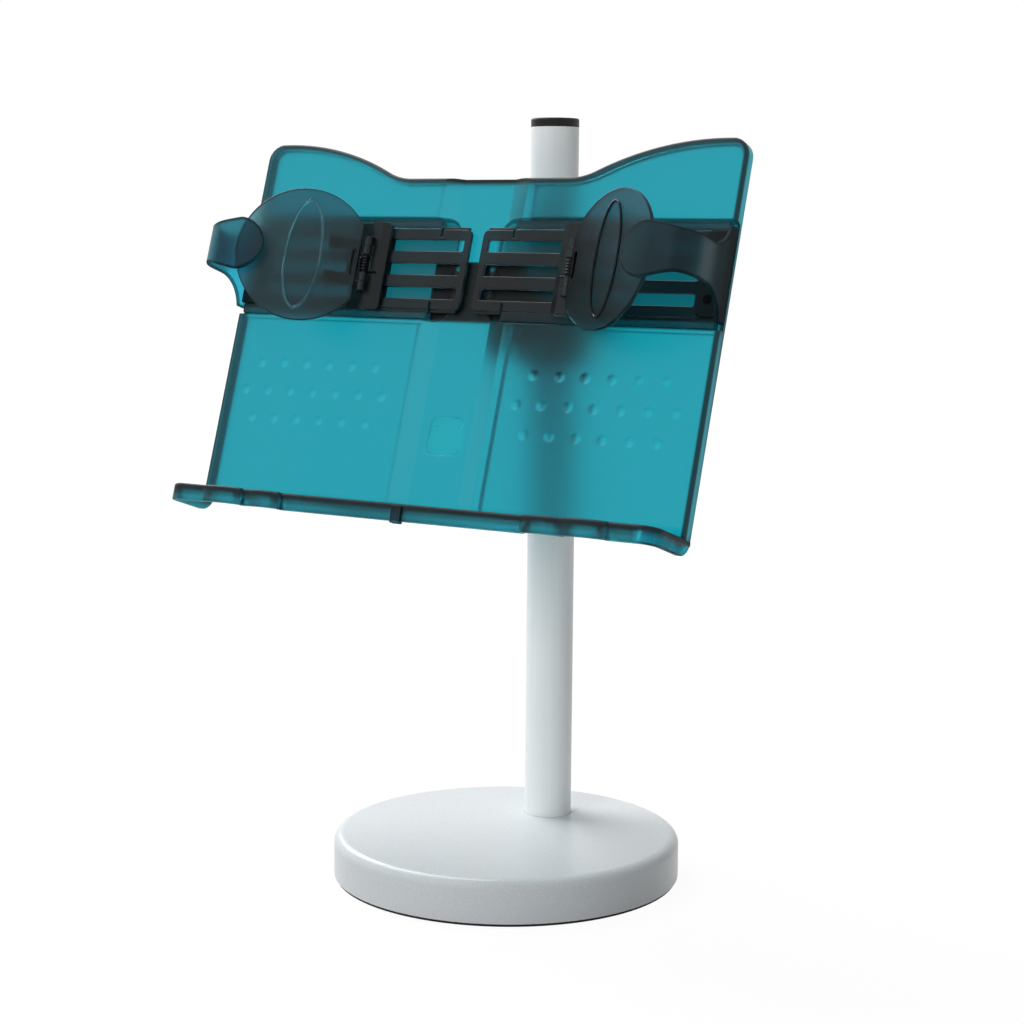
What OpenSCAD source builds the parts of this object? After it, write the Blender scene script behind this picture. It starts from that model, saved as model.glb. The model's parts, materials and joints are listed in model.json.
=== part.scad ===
// Desk book stand: a weighted base, a pole, a sliding and swivelling clamp, and a tilting reading board
// with a shelf and two page holders. The origin is on the desk, under the middle of the base. The reader
// sits on the -Y side. Sizes are in millimetres.

/* [Base] */
// Diameter of the base
base_d = 180; // [150:1:220]
// Height of the base cover's top above the desk
base_top_z = 23; // [20:0.5:32]
// Radius of the base's rounded rim
base_rim_r = 5; // [2:0.5:8]
// Wall of the base cover
cover_wall = 2; // [1.5:0.1:3]
// Thickness of the foot pad
pad_h = 1.5; // [1:0.1:3]
// Distance of the foot pad's edge inside the base's edge
pad_inset = 1; // [1:0.5:8]
// Thickness of the weight plate inside the base
weight_h = 12; // [8:0.5:14]
// Gap between the weight plate and the cover's wall
weight_gap = 4; // [1:0.5:10]

/* [Pole] */
// Outer diameter of the pole
pole_d = 25; // [20:0.5:30]
// Wall of the pole tube
pole_wall = 1.5; // [1:0.1:2.5]
// Height of the pole's top above the desk, with its cap
pole_top_z = 392; // [370:1:480]
// Distance of the pole behind the middle of the base
pole_back = 42; // [20:1:55]
// Thickness of the cap's top
cap_h = 4.5; // [3:0.5:10]
// Depth of the cap's plug in the tube
cap_plug_h = 12; // [6:1:30]
// Length of the threaded plug in the tube's foot
foot_plug_h = 20; // [16:1:40]
// Diameter of the base bolt
bolt_d = 8; // [6:0.5:10]
// Length of the base bolt under its head
bolt_len = 24; // [18:1:28]
// Width across the flats of the base bolt's head
bolt_head_w = 13; // [11:0.5:17]
// Height of the base bolt's head
bolt_head_h = 4; // [3:0.5:5]
// Thickness of the base washer
base_washer_h = 1.5; // [1:0.1:2]
// Diameter of the base washer
base_washer_d = 20; // [18:0.5:26]

/* [Clamp] */
// Height of the tilt axis above the desk
axis_z = 298.7; // [200:0.1:330]
// Distance from the pole's axis to the tilt axis
arm_reach = 59.5; // [54:0.5:80]
// Drop of the clamp's middle below the tilt axis
clamp_drop = 5; // [0:0.5:5]
// Wall of the clamp bush
bush_wall = 2; // [1.5:0.1:3]
// Length of the clamp bush
bush_len = 60; // [50:1:80]
// Thickness of the bush's flange and of its ring
flange_h = 2.5; // [2:0.1:4]
// Width of the bush's flange and of its ring outside the bush
flange_w = 4; // [3:0.5:5]
// Width of the slit in the bush
slit_w = 2; // [1:0.1:4]
// Wall of the clamp body around the bush
clamp_wall = 6; // [5:0.5:10]
// Width of the clamp's front pad and of the arm's flange
pad_w = 28; // [26:1:44]
// Height of the clamp's front pad and of the arm's flange
pad_z = 46; // [46:1:52]
// Distance from the bush to the clamp's front pad
pad_reach = 9.5; // [8:0.5:14]
// Distance from the bush to the end of the clamp's rear boss
boss_reach = 14.5; // [12:0.5:20]
// Diameter of the clamp's rear boss
boss_d = 20; // [18:0.5:26]
// Diameter of the brake shoe
shoe_d = 9; // [8.5:0.5:11]
// Length of the brake shoe
shoe_len = 3.5; // [2:0.5:5]
// Diameter of the clamp knob's stud
stud_d = 8; // [6:0.5:8]
// Width across the flats of the threaded insert in the boss
nut_w = 13; // [11:0.5:14]
// Length of the threaded insert in the boss
nut_len = 5; // [4:0.5:7]
// Diameter of the clamp knob
clamp_knob_d = 36; // [28:1:50]
// Length of the clamp knob
clamp_knob_h = 17; // [12:1:26]

/* [Tilt hinge] */
// Width of the arm
arm_w = 24.8; // [20:0.2:26]
// Height of the arm, and diameter of the hinge knuckle and ears
arm_h = 18; // [14:0.5:20]
// Thickness of the arm's flange
arm_flange_h = 5.5; // [4:0.5:8]
// Diameter of the screws in the arm's flange
arm_screw_d = 4; // [3:0.5:4]
// Length of the arm screws under their heads
arm_screw_len = 11; // [9:0.5:12]
// Diameter of the tilt bolt
tilt_bolt_d = 6; // [5:0.5:8]
// Thickness of a friction washer
tilt_washer_h = 1; // [0.8:0.1:2]
// Diameter of a friction washer
tilt_washer_d = 16; // [12:0.5:18]
// Thickness of a hinge ear
ear_t = 6.4; // [5:0.1:8]
// Diameter of the tilt knob
tilt_knob_d = 24; // [20:1:26]
// Length of the tilt knob
tilt_knob_h = 15; // [12:0.5:20]
// Width across the flats of the insert in the tilt knob
insert_w = 10; // [9:0.5:12]
// Length of the insert in the tilt knob
insert_len = 8; // [5:0.5:10]
// Width of the bracket plate
bracket_w = 50; // [44:1:54]
// Height of the bracket plate
bracket_h = 30; // [30:1:40]
// Thickness of the bracket plate
bracket_t = 4; // [3:0.5:6]
// Diameter of the bracket screws
bracket_screw_d = 3; // [2.5:0.1:3.2]
// Depth of the bracket screws in the board
bracket_screw_bite = 2.3; // [1.5:0.1:2.6]

/* [Board] */
// Lean of the board from upright
board_tilt = 18; // [5:1:40]
// Height of the tilt axis above the board's middle, along the board
axis_v = 38; // [34:1:42]
// Distance of the tilt axis behind the board's front face
axis_depth = 24; // [22:0.5:30]
// Width of the board
board_w = 280; // [270:1:320]
// Height of the board's top edge above its middle
top_v = 95; // [88:1:105]
// Rise of the ears above the top edge
ear_rise = 19; // [12:0.5:26]
// Distance of an ear's highest point from the board's side edge
ear_in = 12; // [10:0.5:20]
// Half the straight length of the top edge
top_flat = 46; // [40:1:56]
// Radius of the hollow curve beside the top edge
hollow_r = 34; // [20:1:50]
// Radius of the board's upper corners
corner_r = 9; // [5:0.5:10]
// Thickness of the board's front sheet
sheet_t = 2.6; // [2:0.1:3]
// Depth of the board's rim behind the front face
rim_depth = 7; // [7:0.1:9]
// Wall of the board's rim
rim_t = 2.4; // [2:0.1:3]
// Width of the spine recess at the front face
spine_w = 49; // [46:1:54]
// Width of the spine recess at its floor
spine_floor_w = 29; // [26:1:32]
// Depth of the spine recess
spine_depth = 3.5; // [3:0.1:3.8]
// Depth of the board's back face behind the front face at the spine and tracks
back_depth = 6.7; // [6.5:0.1:7]
// Width and height of the blank badge
badge_w = 19; // [12:0.5:20]
// Height of the badge's middle above the board's middle
badge_v = -36; // [-50:1:-10]
// Thickness of the badge
badge_t = 0.8; // [0.5:0.1:1.2]
// Diameter of a dimple in the page face
dimple_d = 5.4; // [3:0.1:7]
// Depth of a dimple
dimple_h = 0.8; // [0.4:0.1:1.2]
// Spacing of the dimples along a row
dimple_pitch = 14.3; // [12:0.1:14.6]
// Spacing of the dimple rows
dimple_row = 14.5; // [10:0.1:16]
// Distance of the first dimple of a long row from the board's centre line
dimple_u = 39.3; // [36:0.1:40]
// Height of the middle dimple row above the board's middle
dimple_v = -18.9; // [-30:0.1:-15]
// Dimples in a long row
dimple_count = 7; // [4:1:7]

/* [Shelf] */
// Height of the shelf's top face above the board's middle
shelf_v = -75.5; // [-90:0.5:-65]
// Depth of the shelf at its middle
shelf_d = 25; // [20:0.5:40]
// Height of the shelf's apron
apron_h = 8.5; // [6:0.5:14]
// Wall of the apron
apron_t = 2.4; // [2:0.1:3]
// Forward steps of the three scallops on each half of the shelf's edge
scallop_step = [2.2, 4.2, 3.4]; // [0:0.1:8]
// Distances of the scallops' ends from the side edge
scallop_from = [70, 48, 24, 0]; // [0:1:90]
// Bulge of each scallop
scallop_bulge = 1.6; // [0.5:0.1:3]
// Radius of the shelf's front corners, seen from above
shelf_corner_r = 9; // [4:0.5:12]
// Width of the tab in the middle of the apron
tab_w = 5.5; // [4:0.5:14]
// Step of the tab in front of the apron and below it
tab_step = 1.2; // [0.4:0.1:1.5]
// Radius of the end walls' rear lower corners
heel_r = 9; // [4:0.5:9]

/* [Page tracks] */
// Height of the tracks' middle above the board's middle
track_v = 47.5; // [44:0.5:50]
// Width of a track
track_w = 51; // [51:0.5:54]
// Distance of a track's inner end from the board's centre line
track_in = 13; // [13:0.5:14]
// Depth of a track
track_depth = 4.5; // [4.5:0.1:4.7]
// Radius of a track's inner corners
track_r = 6; // [3:0.5:8]
// Width of a rail
rail_w = 4.5; // [4:0.1:5]
// Distance of the rails' inner ends from the board's centre line
rail_in = 22; // [20:1:40]
// Overlap of a rail's lip over the slide's flange
lip_over = 1.5; // [1.2:0.1:1.8]

/* [Slides and hooks] */
// Distance of a slide's inner end from the board's centre line
slide_in = 3.5; // [2:0.1:6]
// Thickness of a slide
slide_t = 2.2; // [2:0.1:2.4]
// Depth of a slide's front face behind the board's front face
slide_sunk = 0.4; // [0.4:0.1:0.5]
// Thickness of a slide's flange
slide_flange_t = 1.2; // [1:0.1:1.2]
// Width of a slot in a slide
slot_w = 6; // [5:0.1:7]
// Spacing of the slots
slot_pitch = 12.3; // [11:0.1:13]
// Distance of the slots' inner ends from the slide's inner end
slot_in = 3.5; // [3:0.5:10]
// Width of the gap beside a latch finger
finger_gap = 1.2; // [0.8:0.1:2]
// Length of a latch finger
finger_len = 17; // [10:0.5:17]
// Wall between a latch finger's gap and the slot beside it
finger_wall = 1.3; // [0.8:0.1:2]
// Reach of a hook in front of the board's front face
hook_reach = 40.5; // [40.5:0.5:60]
// Thickness of a hook
hook_t = 2.2; // [1.8:0.1:2.4]
// Radius of a hook's bend
hook_bend_r = 14; // [13:0.5:18]
// Radius of a hook's inner curve, from the bend to the tip
hook_sweep_r = 70; // [60:1:120]
// Distance of a hook's tip inside the board's side edge
hook_tip = 37; // [30:0.5:37]
// Width of a hook's tip
hook_tip_w = 27.2; // [20:0.2:30]
// Width of a hook at its bend
hook_neck_w = 20.5; // [14:0.5:22]
// Width of a hook at its root
hook_root_w = 46; // [40:1:46]
// Radius of the curves beside a hook's root
hook_root_r = 18; // [12:1:20]
// Length of a hook's foot on the slide
foot_len = 11.3; // [9:0.1:14]
// Thickness of a hook's foot
foot_t = 1.8; // [1.6:0.1:2.4]
// Diameter of the hook screws
hook_screw_d = 2.4; // [2:0.1:2.6]
// Spacing of the hook screws
hook_screw_pitch = 24.6; // [20:0.2:30]

/* [Carriages and discs] */
// Distance of a hinge pin from the board's centre line
pin_u = 60; // [56:0.5:60]
// Distance of a hinge pin in front of the board's front face
pin_n = 6; // [6:0.1:7]
// Diameter of a hinge pin
pin_d = 2.4; // [2:0.1:2.6]
// Width of a carriage bar
bar_w = 10; // [9:0.5:12]
// Length of a carriage bar
bar_len = 45; // [40:0.5:45]
// Height of a carriage bar's front above the board's front face
bar_n = 4.4; // [4:0.1:4.6]
// Height of a carriage plate's front above the board's front face
plate_n = 1.6; // [1.2:0.1:2]
// Reach of a carriage plate beyond its bar, under the disc
plate_reach = 9.5; // [6:0.5:12]
// Thickness of a keeper plate
keeper_t = 0.9; // [0.7:0.1:1]
// Length of a keeper plate
keeper_len = 36; // [32:1:38]
// Diameter of the hinge barrels
barrel_d = 5.2; // [4.8:0.1:5.4]
// Distance of the hinge's outer end from the middle of the bar
knuckle_out = 14; // [13:0.5:16]
// Distance of the knuckles' inner end from the middle of the bar
knuckle_in = 9.2; // [9:0.1:10]
// Distance of the leaf barrels' inner end from the middle of the bar
barrel_in = 4.8; // [4.8:0.1:5.5]
// Opening angle of a disc
disc_open = 26; // [10:0.5:26]
// Diameter of a disc
disc_d = 68.4; // [50:0.2:68.4]
// Thickness of a disc
disc_t = 2; // [1.5:0.1:2]
// Distance of a disc's middle from its hinge pin
disc_x = 32; // [28:0.5:32]
// Distance of a disc's straight edge from its hinge pin
disc_edge = 3.4; // [3.4:0.1:5]
// Width of the oval rib on a disc
oval_w = 19; // [12:0.5:26]
// Length of the oval rib on a disc
oval_len = 57; // [40:0.5:60]
// Width of the oval rib's line
oval_line = 1; // [0.6:0.1:1.6]
// Height of the oval rib's line
oval_h = 0.6; // [0.3:0.1:0.6]
// Thickness of a hinge leaf
leaf_t = 1.4; // [1:0.1:1.4]
// Width of a hinge leaf
leaf_w = 24; // [20:0.5:26]
// Width of a prong of a hinge leaf
prong_w = 6; // [5:0.1:6.5]
// Length of a hinge leaf
leaf_len = 20; // [18:0.5:24]
// Diameter of a rivet
rivet_d = 2.8; // [2:0.1:3]
// Wire of a torsion spring
wire_d = 0.9; // [0.6:0.1:0.9]
// Coil diameter of a torsion spring, at the middle of the wire
coil_d = 4; // [3.6:0.1:4]
// Spacing of the spring's curls
coil_pitch = 1.5; // [1.4:0.05:1.5]
// Curls of a torsion spring
coil_turns = 5; // [3:1:5]

/* [Hidden] */
$fn = 64;

// Clearances: cut overshoot, running fit, loose fit, gap between faces that pass each other
eps = 0.1;
run_fit = 0.05;
loose_fit = 0.1;
pass_gap = 0.1;
swing_gap = 0.3;

// Base and pole
weight_top = pad_h + weight_h;
pole_r = pole_d / 2;
tube_in_r = pole_r - pole_wall;
tube_top = pole_top_z - cap_h;
bolt_sunk = 1;
bolt_z = pad_h + bolt_sunk;
counterbore_d = base_washer_d + 2;
counterbore_h = bolt_sunk + bolt_head_h + base_washer_h;
bolt_hole_d = bolt_d + 4 * loose_fit;
cap_edge_r = 1;

// Clamp
bush_in_r = pole_r + run_fit;
bush_r = bush_in_r + bush_wall;
clamp_bore_r = bush_r + run_fit;
clamp_r = bush_r + clamp_wall;
clamp_h = bush_len - 2 * flange_h - 2 * swing_gap;
flange_r = bush_r + flange_w;
pad_y = -bush_r - pad_reach;
boss_y = bush_r + boss_reach;
shoe_y = bush_r + loose_fit;
stud_y = shoe_y + shoe_len + pass_gap;
nut_y = boss_y - nut_len;
clamp_knob_y = boss_y + 2 * swing_gap;

// Tilt hinge, from the tilt axis
flange_y = arm_reach + pad_y;
ear_in_x = arm_w / 2 + tilt_washer_h + 2 * pass_gap;
ear_out_x = ear_in_x + ear_t;
arm_screw_head_d = arm_screw_d + 2.4;
arm_screw_head_h = 2;
arm_screw_x = (pad_w - arm_screw_head_d) / 2 - 0.4;
arm_screw_z = pad_z / 2 - 5;
tilt_head_h = 4;
tilt_head_w = tilt_bolt_d + 4;
knob_blind = 3;
knob_edge_r = 2;
knob_lobes = 6;
tilt_knob_x = ear_out_x + 2 * swing_gap;
bracket_n = -back_depth - bracket_t;
bracket_screw_u = spine_floor_w / 2 - 4.5;
bracket_screw_v = bracket_h / 2 - 4;
bracket_head_d = bracket_screw_d + 3;
bracket_head_h = 1.8;

// Board
half_w = board_w / 2;
ear_u = half_w - ear_in;
crown_r = ((ear_u - top_flat) ^ 2 + ear_rise ^ 2) / (2 * ear_rise) - hollow_r;
crown_turn = asin((ear_u - top_flat) / (crown_r + hollow_r));
shelf_under = shelf_v - sheet_t;
apron_v = shelf_v - apron_h;
spine_block_w = spine_w + 2 * rim_t;
spine_flare = (spine_w - spine_floor_w) / 2 / spine_depth;
badge_r = badge_w / 5;
dimple_sphere_r = (dimple_d ^ 2 / 4 + dimple_h ^ 2) / (2 * dimple_h);
arc_steps = 12;

// Tracks, slides and hooks
track_half = track_w / 2;
track_wall = 2;
slide_front = -slide_sunk;
slide_back = slide_front - slide_t;
rail_edge = track_half - rail_w;
slide_half = rail_edge - 4 * pass_gap;
flange_half = slide_half + lip_over;
finger_w = slide_half - slot_pitch - slot_w / 2 - finger_wall;
groove_top = slide_back + slide_flange_t + pass_gap;
rail_front = -pass_gap;
hook_stand_off = 0.5;
hook_u = half_w + hook_stand_off;
strap_u = hook_u - hook_t;
rail_out = strap_u - 1.3;
foot_u = strap_u - foot_len;
slot_out = foot_u - 2;
flange_in = slide_in + 2;
foot_front = slide_front + foot_t;
bend_u = hook_u - hook_bend_r;
bend_n = hook_reach - hook_bend_r;
sweep_n = hook_reach - hook_sweep_r;
tip_u = half_w - hook_tip;
tip_centre_u = tip_u + hook_tip_w / 2;
neck_u = bend_u + hook_bend_r / 2;
root_n = foot_front;
hook_head_d = hook_screw_d + 2.4;
hook_head_h = 0.8;
hook_screw_u = foot_u + foot_len / 2;

// Carriages and discs
bar_overhang = 0.5;
bar_end_u = pin_u + bar_overhang;
bar_u = bar_end_u - bar_w;
bar_mid_u = bar_u + bar_w / 2;
bar_slope = bar_w - 6;
plate_end_u = bar_end_u + plate_reach;
plate_corner_r = 2;
bar_back = pass_gap;
tongue_w = slot_w - 6 * pass_gap;
tongue_inset = 1;
keeper_front = slide_back - 1.5 * pass_gap;
keeper_back = keeper_front - keeper_t;
stake_d = 2.6;
barrel_r = barrel_d / 2;
barrel_out = knuckle_in - swing_gap;
groove_r = barrel_r + swing_gap + pass_gap;
oval_steps = 64;
rivet_head_d = rivet_d + 2;
rivet_head_h = 0.6;
rivet_sunk = 0.2;
rivet_x = leaf_len - prong_w / 2 - 1.5;
rivet_y = leaf_w / 2 - prong_w / 2;
web_out = leaf_len - 11;
disc_slot_x = disc_edge + 1.6;
disc_slot_w = 1.6;
disc_slot_len = 13;
coil_len = coil_turns * coil_pitch;
coil_steps = 8;
wire_sides = 6;
leg_out = 5;
leg_in = 6;
leg_gap = 0.3;

smoke = [0.17, 0.28, 0.32];
teal = [0.16, 0.58, 0.65];
silver = [0.78, 0.80, 0.81];
dark_steel = [0.12, 0.12, 0.13];
black = [0.06, 0.06, 0.07];

// Places: along the board (u, v) and out of it (n), on one half of it, on the pole, on the tilt axis
module on_axis() {
    translate([0, pole_back - arm_reach, axis_z]) children();
}

module on_board() {
    on_axis() rotate([90 - board_tilt, 0, 0]) translate([0, -axis_v, axis_depth]) children();
}

module half_of_board(side) {
    on_board() mirror([side < 0 ? 1 : 0, 0, 0]) children();
}

module on_disc(side) {
    half_of_board(side) translate([pin_u, track_v, pin_n]) rotate([0, -disc_open, 0]) children();
}

module on_pole() {
    translate([0, pole_back, axis_z - clamp_drop]) children();
}

// Shapes that repeat
module along_x(d, x0, x1) {
    translate([x0, 0, 0]) rotate([0, 90, 0]) cylinder(d = d, h = x1 - x0);
}

module along_y(d, y0, y1) {
    translate([0, y1, 0]) rotate([90, 0, 0]) cylinder(d = d, h = y1 - y0);
}

module hex(flats, h) {
    cylinder(d = flats / cos(30), h = h, $fn = 6);
}

module span(u, v, n) {
    translate([u[0], v[0], n[0]]) cube([u[1] - u[0], v[1] - v[0], n[1] - n[0]]);
}

module rounded_rect(w, h, r) {
    square([w - 2 * r, h], center = true);
    square([w, h - 2 * r], center = true);
    for (x = [-1, 1], y = [-1, 1]) translate([x * (w / 2 - r), y * (h / 2 - r)]) circle(r = r);
}

module rim_section(r, top, rim) {
    square([r - rim, top]);
    square([r, top - rim]);
    translate([r - rim, top - rim]) circle(r = rim);
}

module lobed_knob(d, h, bore) {
    difference() {
        rotate_extrude() rim_section(d / 2, h, knob_edge_r);
        translate([0, 0, -eps]) cylinder(d = bore, h = h - knob_blind + eps);
        for (i = [0 : knob_lobes - 1])
            rotate(i * 360 / knob_lobes) translate([d * 0.6, 0, -eps])
                cylinder(d = d * 0.36, h = h + 2 * eps);
    }
}

module screw(d, len, head_d, head_h) {
    cylinder(d = d, h = len);
    translate([0, 0, len]) cylinder(d = head_d, h = head_h);
}

function arc(c, r, a0, a1) = [for (i = [0 : arc_steps])
    let (a = a0 + (a1 - a0) * i / arc_steps) c + r * [cos(a), sin(a)]];

function flip(points) = [for (i = [len(points) - 1 : -1 : 0]) [-points[i][0], points[i][1]]];

// Base
module base_cover() color(silver) difference() {
    translate([0, 0, pad_h]) rotate_extrude($fn = 128) difference() {
        rim_section(base_d / 2, base_top_z - pad_h, base_rim_r);
        translate([0, -eps]) rim_section(base_d / 2 - cover_wall, base_top_z - pad_h - cover_wall + eps,
            max(base_rim_r - cover_wall, 0.5));
    }
    translate([0, pole_back, 0]) cylinder(d = pole_d + 4 * loose_fit, h = base_top_z + eps);
}

module base_weight() color(black) difference() {
    translate([0, 0, pad_h]) cylinder(r = base_d / 2 - cover_wall - weight_gap, h = weight_h, $fn = 128);
    translate([0, pole_back, -eps]) cylinder(d = bolt_hole_d, h = base_top_z);
    translate([0, pole_back, pad_h - eps]) cylinder(d = counterbore_d, h = counterbore_h + eps);
}

module base_foot_pad() color(black)
    cylinder(r = base_d / 2 - pad_inset, h = pad_h, $fn = 128);

module base_bolt() color(silver) translate([0, pole_back, bolt_z]) {
    hex(bolt_head_w, bolt_head_h);
    cylinder(d = bolt_d, h = bolt_head_h + bolt_len);
}

module base_washer() color(silver) translate([0, pole_back, bolt_z + bolt_head_h]) difference() {
    cylinder(d = base_washer_d, h = base_washer_h);
    translate([0, 0, -eps]) cylinder(d = bolt_hole_d, h = base_washer_h + 2 * eps);
}

// Pole
module pole_tube() color(silver) translate([0, pole_back, weight_top]) difference() {
    cylinder(r = pole_r, h = tube_top - weight_top);
    translate([0, 0, -eps]) cylinder(r = tube_in_r, h = tube_top - weight_top + 2 * eps);
}

module pole_plug() color(black) translate([0, pole_back, weight_top]) difference() {
    cylinder(r = tube_in_r - run_fit, h = foot_plug_h);
    translate([0, 0, -eps]) cylinder(d = bolt_d + 2 * loose_fit, h = foot_plug_h + 2 * eps);
}

module pole_cap() color(black) translate([0, pole_back, tube_top]) {
    translate([0, 0, -cap_plug_h]) cylinder(r = tube_in_r - run_fit, h = cap_plug_h);
    rotate_extrude() rim_section(pole_r, cap_h, cap_edge_r);
}

// Clamp
module clamp_bush() color(black) on_pole() difference() {
    union() {
        translate([0, 0, -bush_len / 2]) cylinder(r = bush_r, h = bush_len);
        translate([0, 0, -bush_len / 2]) cylinder(r = flange_r, h = flange_h);
    }
    translate([0, 0, -bush_len / 2 - eps]) cylinder(r = bush_in_r, h = bush_len + 2 * eps);
    translate([0, -slit_w / 2, -bush_len / 2 - eps]) cube([flange_r + eps, slit_w, bush_len + 2 * eps]);
}

module bush_ring() color(black) on_pole() translate([0, 0, bush_len / 2 - flange_h]) difference() {
    cylinder(r = flange_r, h = flange_h);
    translate([0, 0, -eps]) cylinder(r = bush_r + run_fit, h = flange_h + 2 * eps);
}

module clamp_body() color(black) on_pole() difference() {
    union() {
        translate([0, 0, -clamp_h / 2]) cylinder(r = clamp_r, h = clamp_h);
        translate([-pad_w / 2, pad_y, -pad_z / 2]) cube([pad_w, -pad_y, pad_z]);
        along_y(boss_d, 0, boss_y);
    }
    translate([0, 0, -clamp_h / 2 - eps]) cylinder(r = clamp_bore_r, h = clamp_h + 2 * eps);
    along_y(shoe_d + 2 * loose_fit, 0, boss_y + eps);
    translate([0, boss_y + eps, 0]) rotate([90, 0, 0]) hex(nut_w + 2 * run_fit, nut_len + eps);
    for (x = [-1, 1], z = [-1, 1]) translate([x * arm_screw_x, 0, z * arm_screw_z])
        along_y(arm_screw_d + 2 * loose_fit, pad_y - eps, pad_y + arm_screw_len - arm_flange_h + 1);
}

module clamp_shoe() color(black) on_pole() along_y(shoe_d, shoe_y, shoe_y + shoe_len);

module clamp_nut() color("goldenrod") on_pole() difference() {
    translate([0, boss_y, 0]) rotate([90, 0, 0]) hex(nut_w, nut_len);
    along_y(stud_d + 2 * run_fit, nut_y - eps, boss_y + eps);
}

module clamp_stud() color(silver) on_pole() along_y(stud_d, stud_y, clamp_knob_y + clamp_knob_h - knob_blind);

module clamp_knob() color(black) on_pole() translate([0, clamp_knob_y, 0]) rotate([-90, 0, 0])
    lobed_knob(clamp_knob_d, clamp_knob_h, stud_d + 2 * run_fit);

// Tilt hinge
module tilt_arm() color(black) on_axis() difference() {
    union() {
        along_x(arm_h, -arm_w / 2, arm_w / 2);
        translate([-arm_w / 2, 0, -arm_h / 2]) cube([arm_w, flange_y, arm_h]);
        translate([-pad_w / 2, flange_y - arm_flange_h, -clamp_drop - pad_z / 2])
            cube([pad_w, arm_flange_h, pad_z]);
    }
    along_x(tilt_bolt_d + 2 * run_fit, -arm_w, arm_w);
    for (x = [-1, 1], z = [-1, 1]) translate([x * arm_screw_x, 0, z * arm_screw_z - clamp_drop])
        along_y(arm_screw_d + 2 * loose_fit, flange_y - arm_flange_h - eps, flange_y + eps);
}

module arm_screws() color(silver) on_axis()
    for (x = [-1, 1], z = [-1, 1])
        translate([x * arm_screw_x, flange_y - arm_flange_h + arm_screw_len, z * arm_screw_z - clamp_drop])
            rotate([90, 0, 0]) screw(arm_screw_d, arm_screw_len, arm_screw_head_d, arm_screw_head_h);

module bracket_ear_section() {
    translate([-arm_h / 2, 0]) square([arm_h, axis_depth + bracket_n + eps]);
    circle(d = arm_h);
}

module back_bracket() color(black) on_board() difference() {
    union() {
        span([-bracket_w / 2, bracket_w / 2], [axis_v - bracket_h / 2, axis_v + bracket_h / 2],
            [bracket_n, -back_depth]);
        for (x = [-ear_out_x, ear_in_x]) translate([x, axis_v, -axis_depth])
            rotate([90, 0, 90]) linear_extrude(ear_t) bracket_ear_section();
    }
    translate([0, axis_v, -axis_depth]) along_x(tilt_bolt_d + 2 * run_fit, -ear_out_x - eps, ear_out_x + eps);
    for (u = [-1, 1], v = [-1, 1])
        translate([u * bracket_screw_u, axis_v + v * bracket_screw_v, bracket_n - eps])
            cylinder(d = bracket_screw_d + 2 * loose_fit, h = bracket_t + 2 * eps);
}

module bracket_screws() color(silver) on_board()
    for (u = [-1, 1], v = [-1, 1])
        translate([u * bracket_screw_u, axis_v + v * bracket_screw_v, bracket_screw_bite - back_depth])
            rotate([180, 0, 0])
                screw(bracket_screw_d, bracket_t + bracket_screw_bite, bracket_head_d, bracket_head_h);

module tilt_bolt() color(silver) on_axis() rotate([90 - board_tilt, 0, 0]) {
    along_x(tilt_bolt_d, -ear_out_x, tilt_knob_x + tilt_knob_h - knob_blind);
    translate([-ear_out_x - tilt_head_h, 0, 0]) rotate([0, 90, 0]) hex(tilt_head_w, tilt_head_h);
}

module tilt_washers() color("dimgray") on_axis()
    for (x = [-arm_w / 2 - tilt_washer_h - pass_gap, arm_w / 2 + pass_gap]) difference() {
        along_x(tilt_washer_d, x, x + tilt_washer_h);
        along_x(tilt_bolt_d + 2 * run_fit, x - eps, x + tilt_washer_h + eps);
    }

module tilt_knob() color(black) on_axis() difference() {
    translate([tilt_knob_x, 0, 0]) rotate([0, 90, 0])
        lobed_knob(tilt_knob_d, tilt_knob_h, tilt_bolt_d + 2 * loose_fit);
    translate([tilt_knob_x - eps, 0, 0]) rotate([0, 90, 0]) hex(insert_w + 2 * run_fit, insert_len + eps);
}

module tilt_insert() color("goldenrod") on_axis() difference() {
    translate([tilt_knob_x, 0, 0]) rotate([0, 90, 0]) hex(insert_w, insert_len);
    along_x(tilt_bolt_d + 2 * run_fit, tilt_knob_x - eps, tilt_knob_x + insert_len + eps);
}

// Board: outline of the right half, drawn inwards by inset, from the lower corner to the top's middle
function board_half(inset, low) = concat(
    [[half_w - inset, low]],
    arc([half_w - corner_r, top_v + ear_rise - corner_r], corner_r - inset, 0, 90),
    arc([ear_u, top_v + ear_rise - crown_r], crown_r - inset, 90, 90 + crown_turn),
    arc([top_flat, top_v + hollow_r], hollow_r + inset, crown_turn - 90, -90));

module board_outline(inset, low) {
    half = board_half(inset, low);
    polygon(concat(half, flip(half)));
}

// Depth of the shelf's edge at a distance u from the centre line: scallops, then a round corner
function scallop(u, i) = let (
    a = half_w - scallop_from[i],
    b = half_w - scallop_from[i + 1],
    s = (2 * u - a - b) / (b - a)) shelf_d + scallop_step[i] + scallop_bulge * (1 - s * s);

function corner_limit(u) = let (
    s = max(u - half_w + shelf_corner_r, 0),
    d = shelf_d + scallop_step[2]) d - shelf_corner_r + sqrt(max(shelf_corner_r ^ 2 - s * s, 0));

function shelf_half(inset) = concat([for (i = [0 : 2], k = [0 : arc_steps])
    let (
        a = half_w - scallop_from[i],
        b = half_w - scallop_from[i + 1],
        u = a + (b - a) * k / arc_steps,
        d = i < 2 ? scallop(u, i) : min(scallop(u, i), corner_limit(u)))
    [u - inset, d - inset]]);

module shelf_outline(inset, rear) {
    half = concat([[half_w - scallop_from[0] - inset, shelf_d - inset]], shelf_half(inset),
        [[half_w - inset, rear]]);
    polygon(concat(flip(half), half));
}

module shelf_layer(inset, rear, high, low) {
    translate([0, high, 0]) rotate([90, 0, 0]) linear_extrude(high - low) shelf_outline(inset, rear);
}

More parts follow.
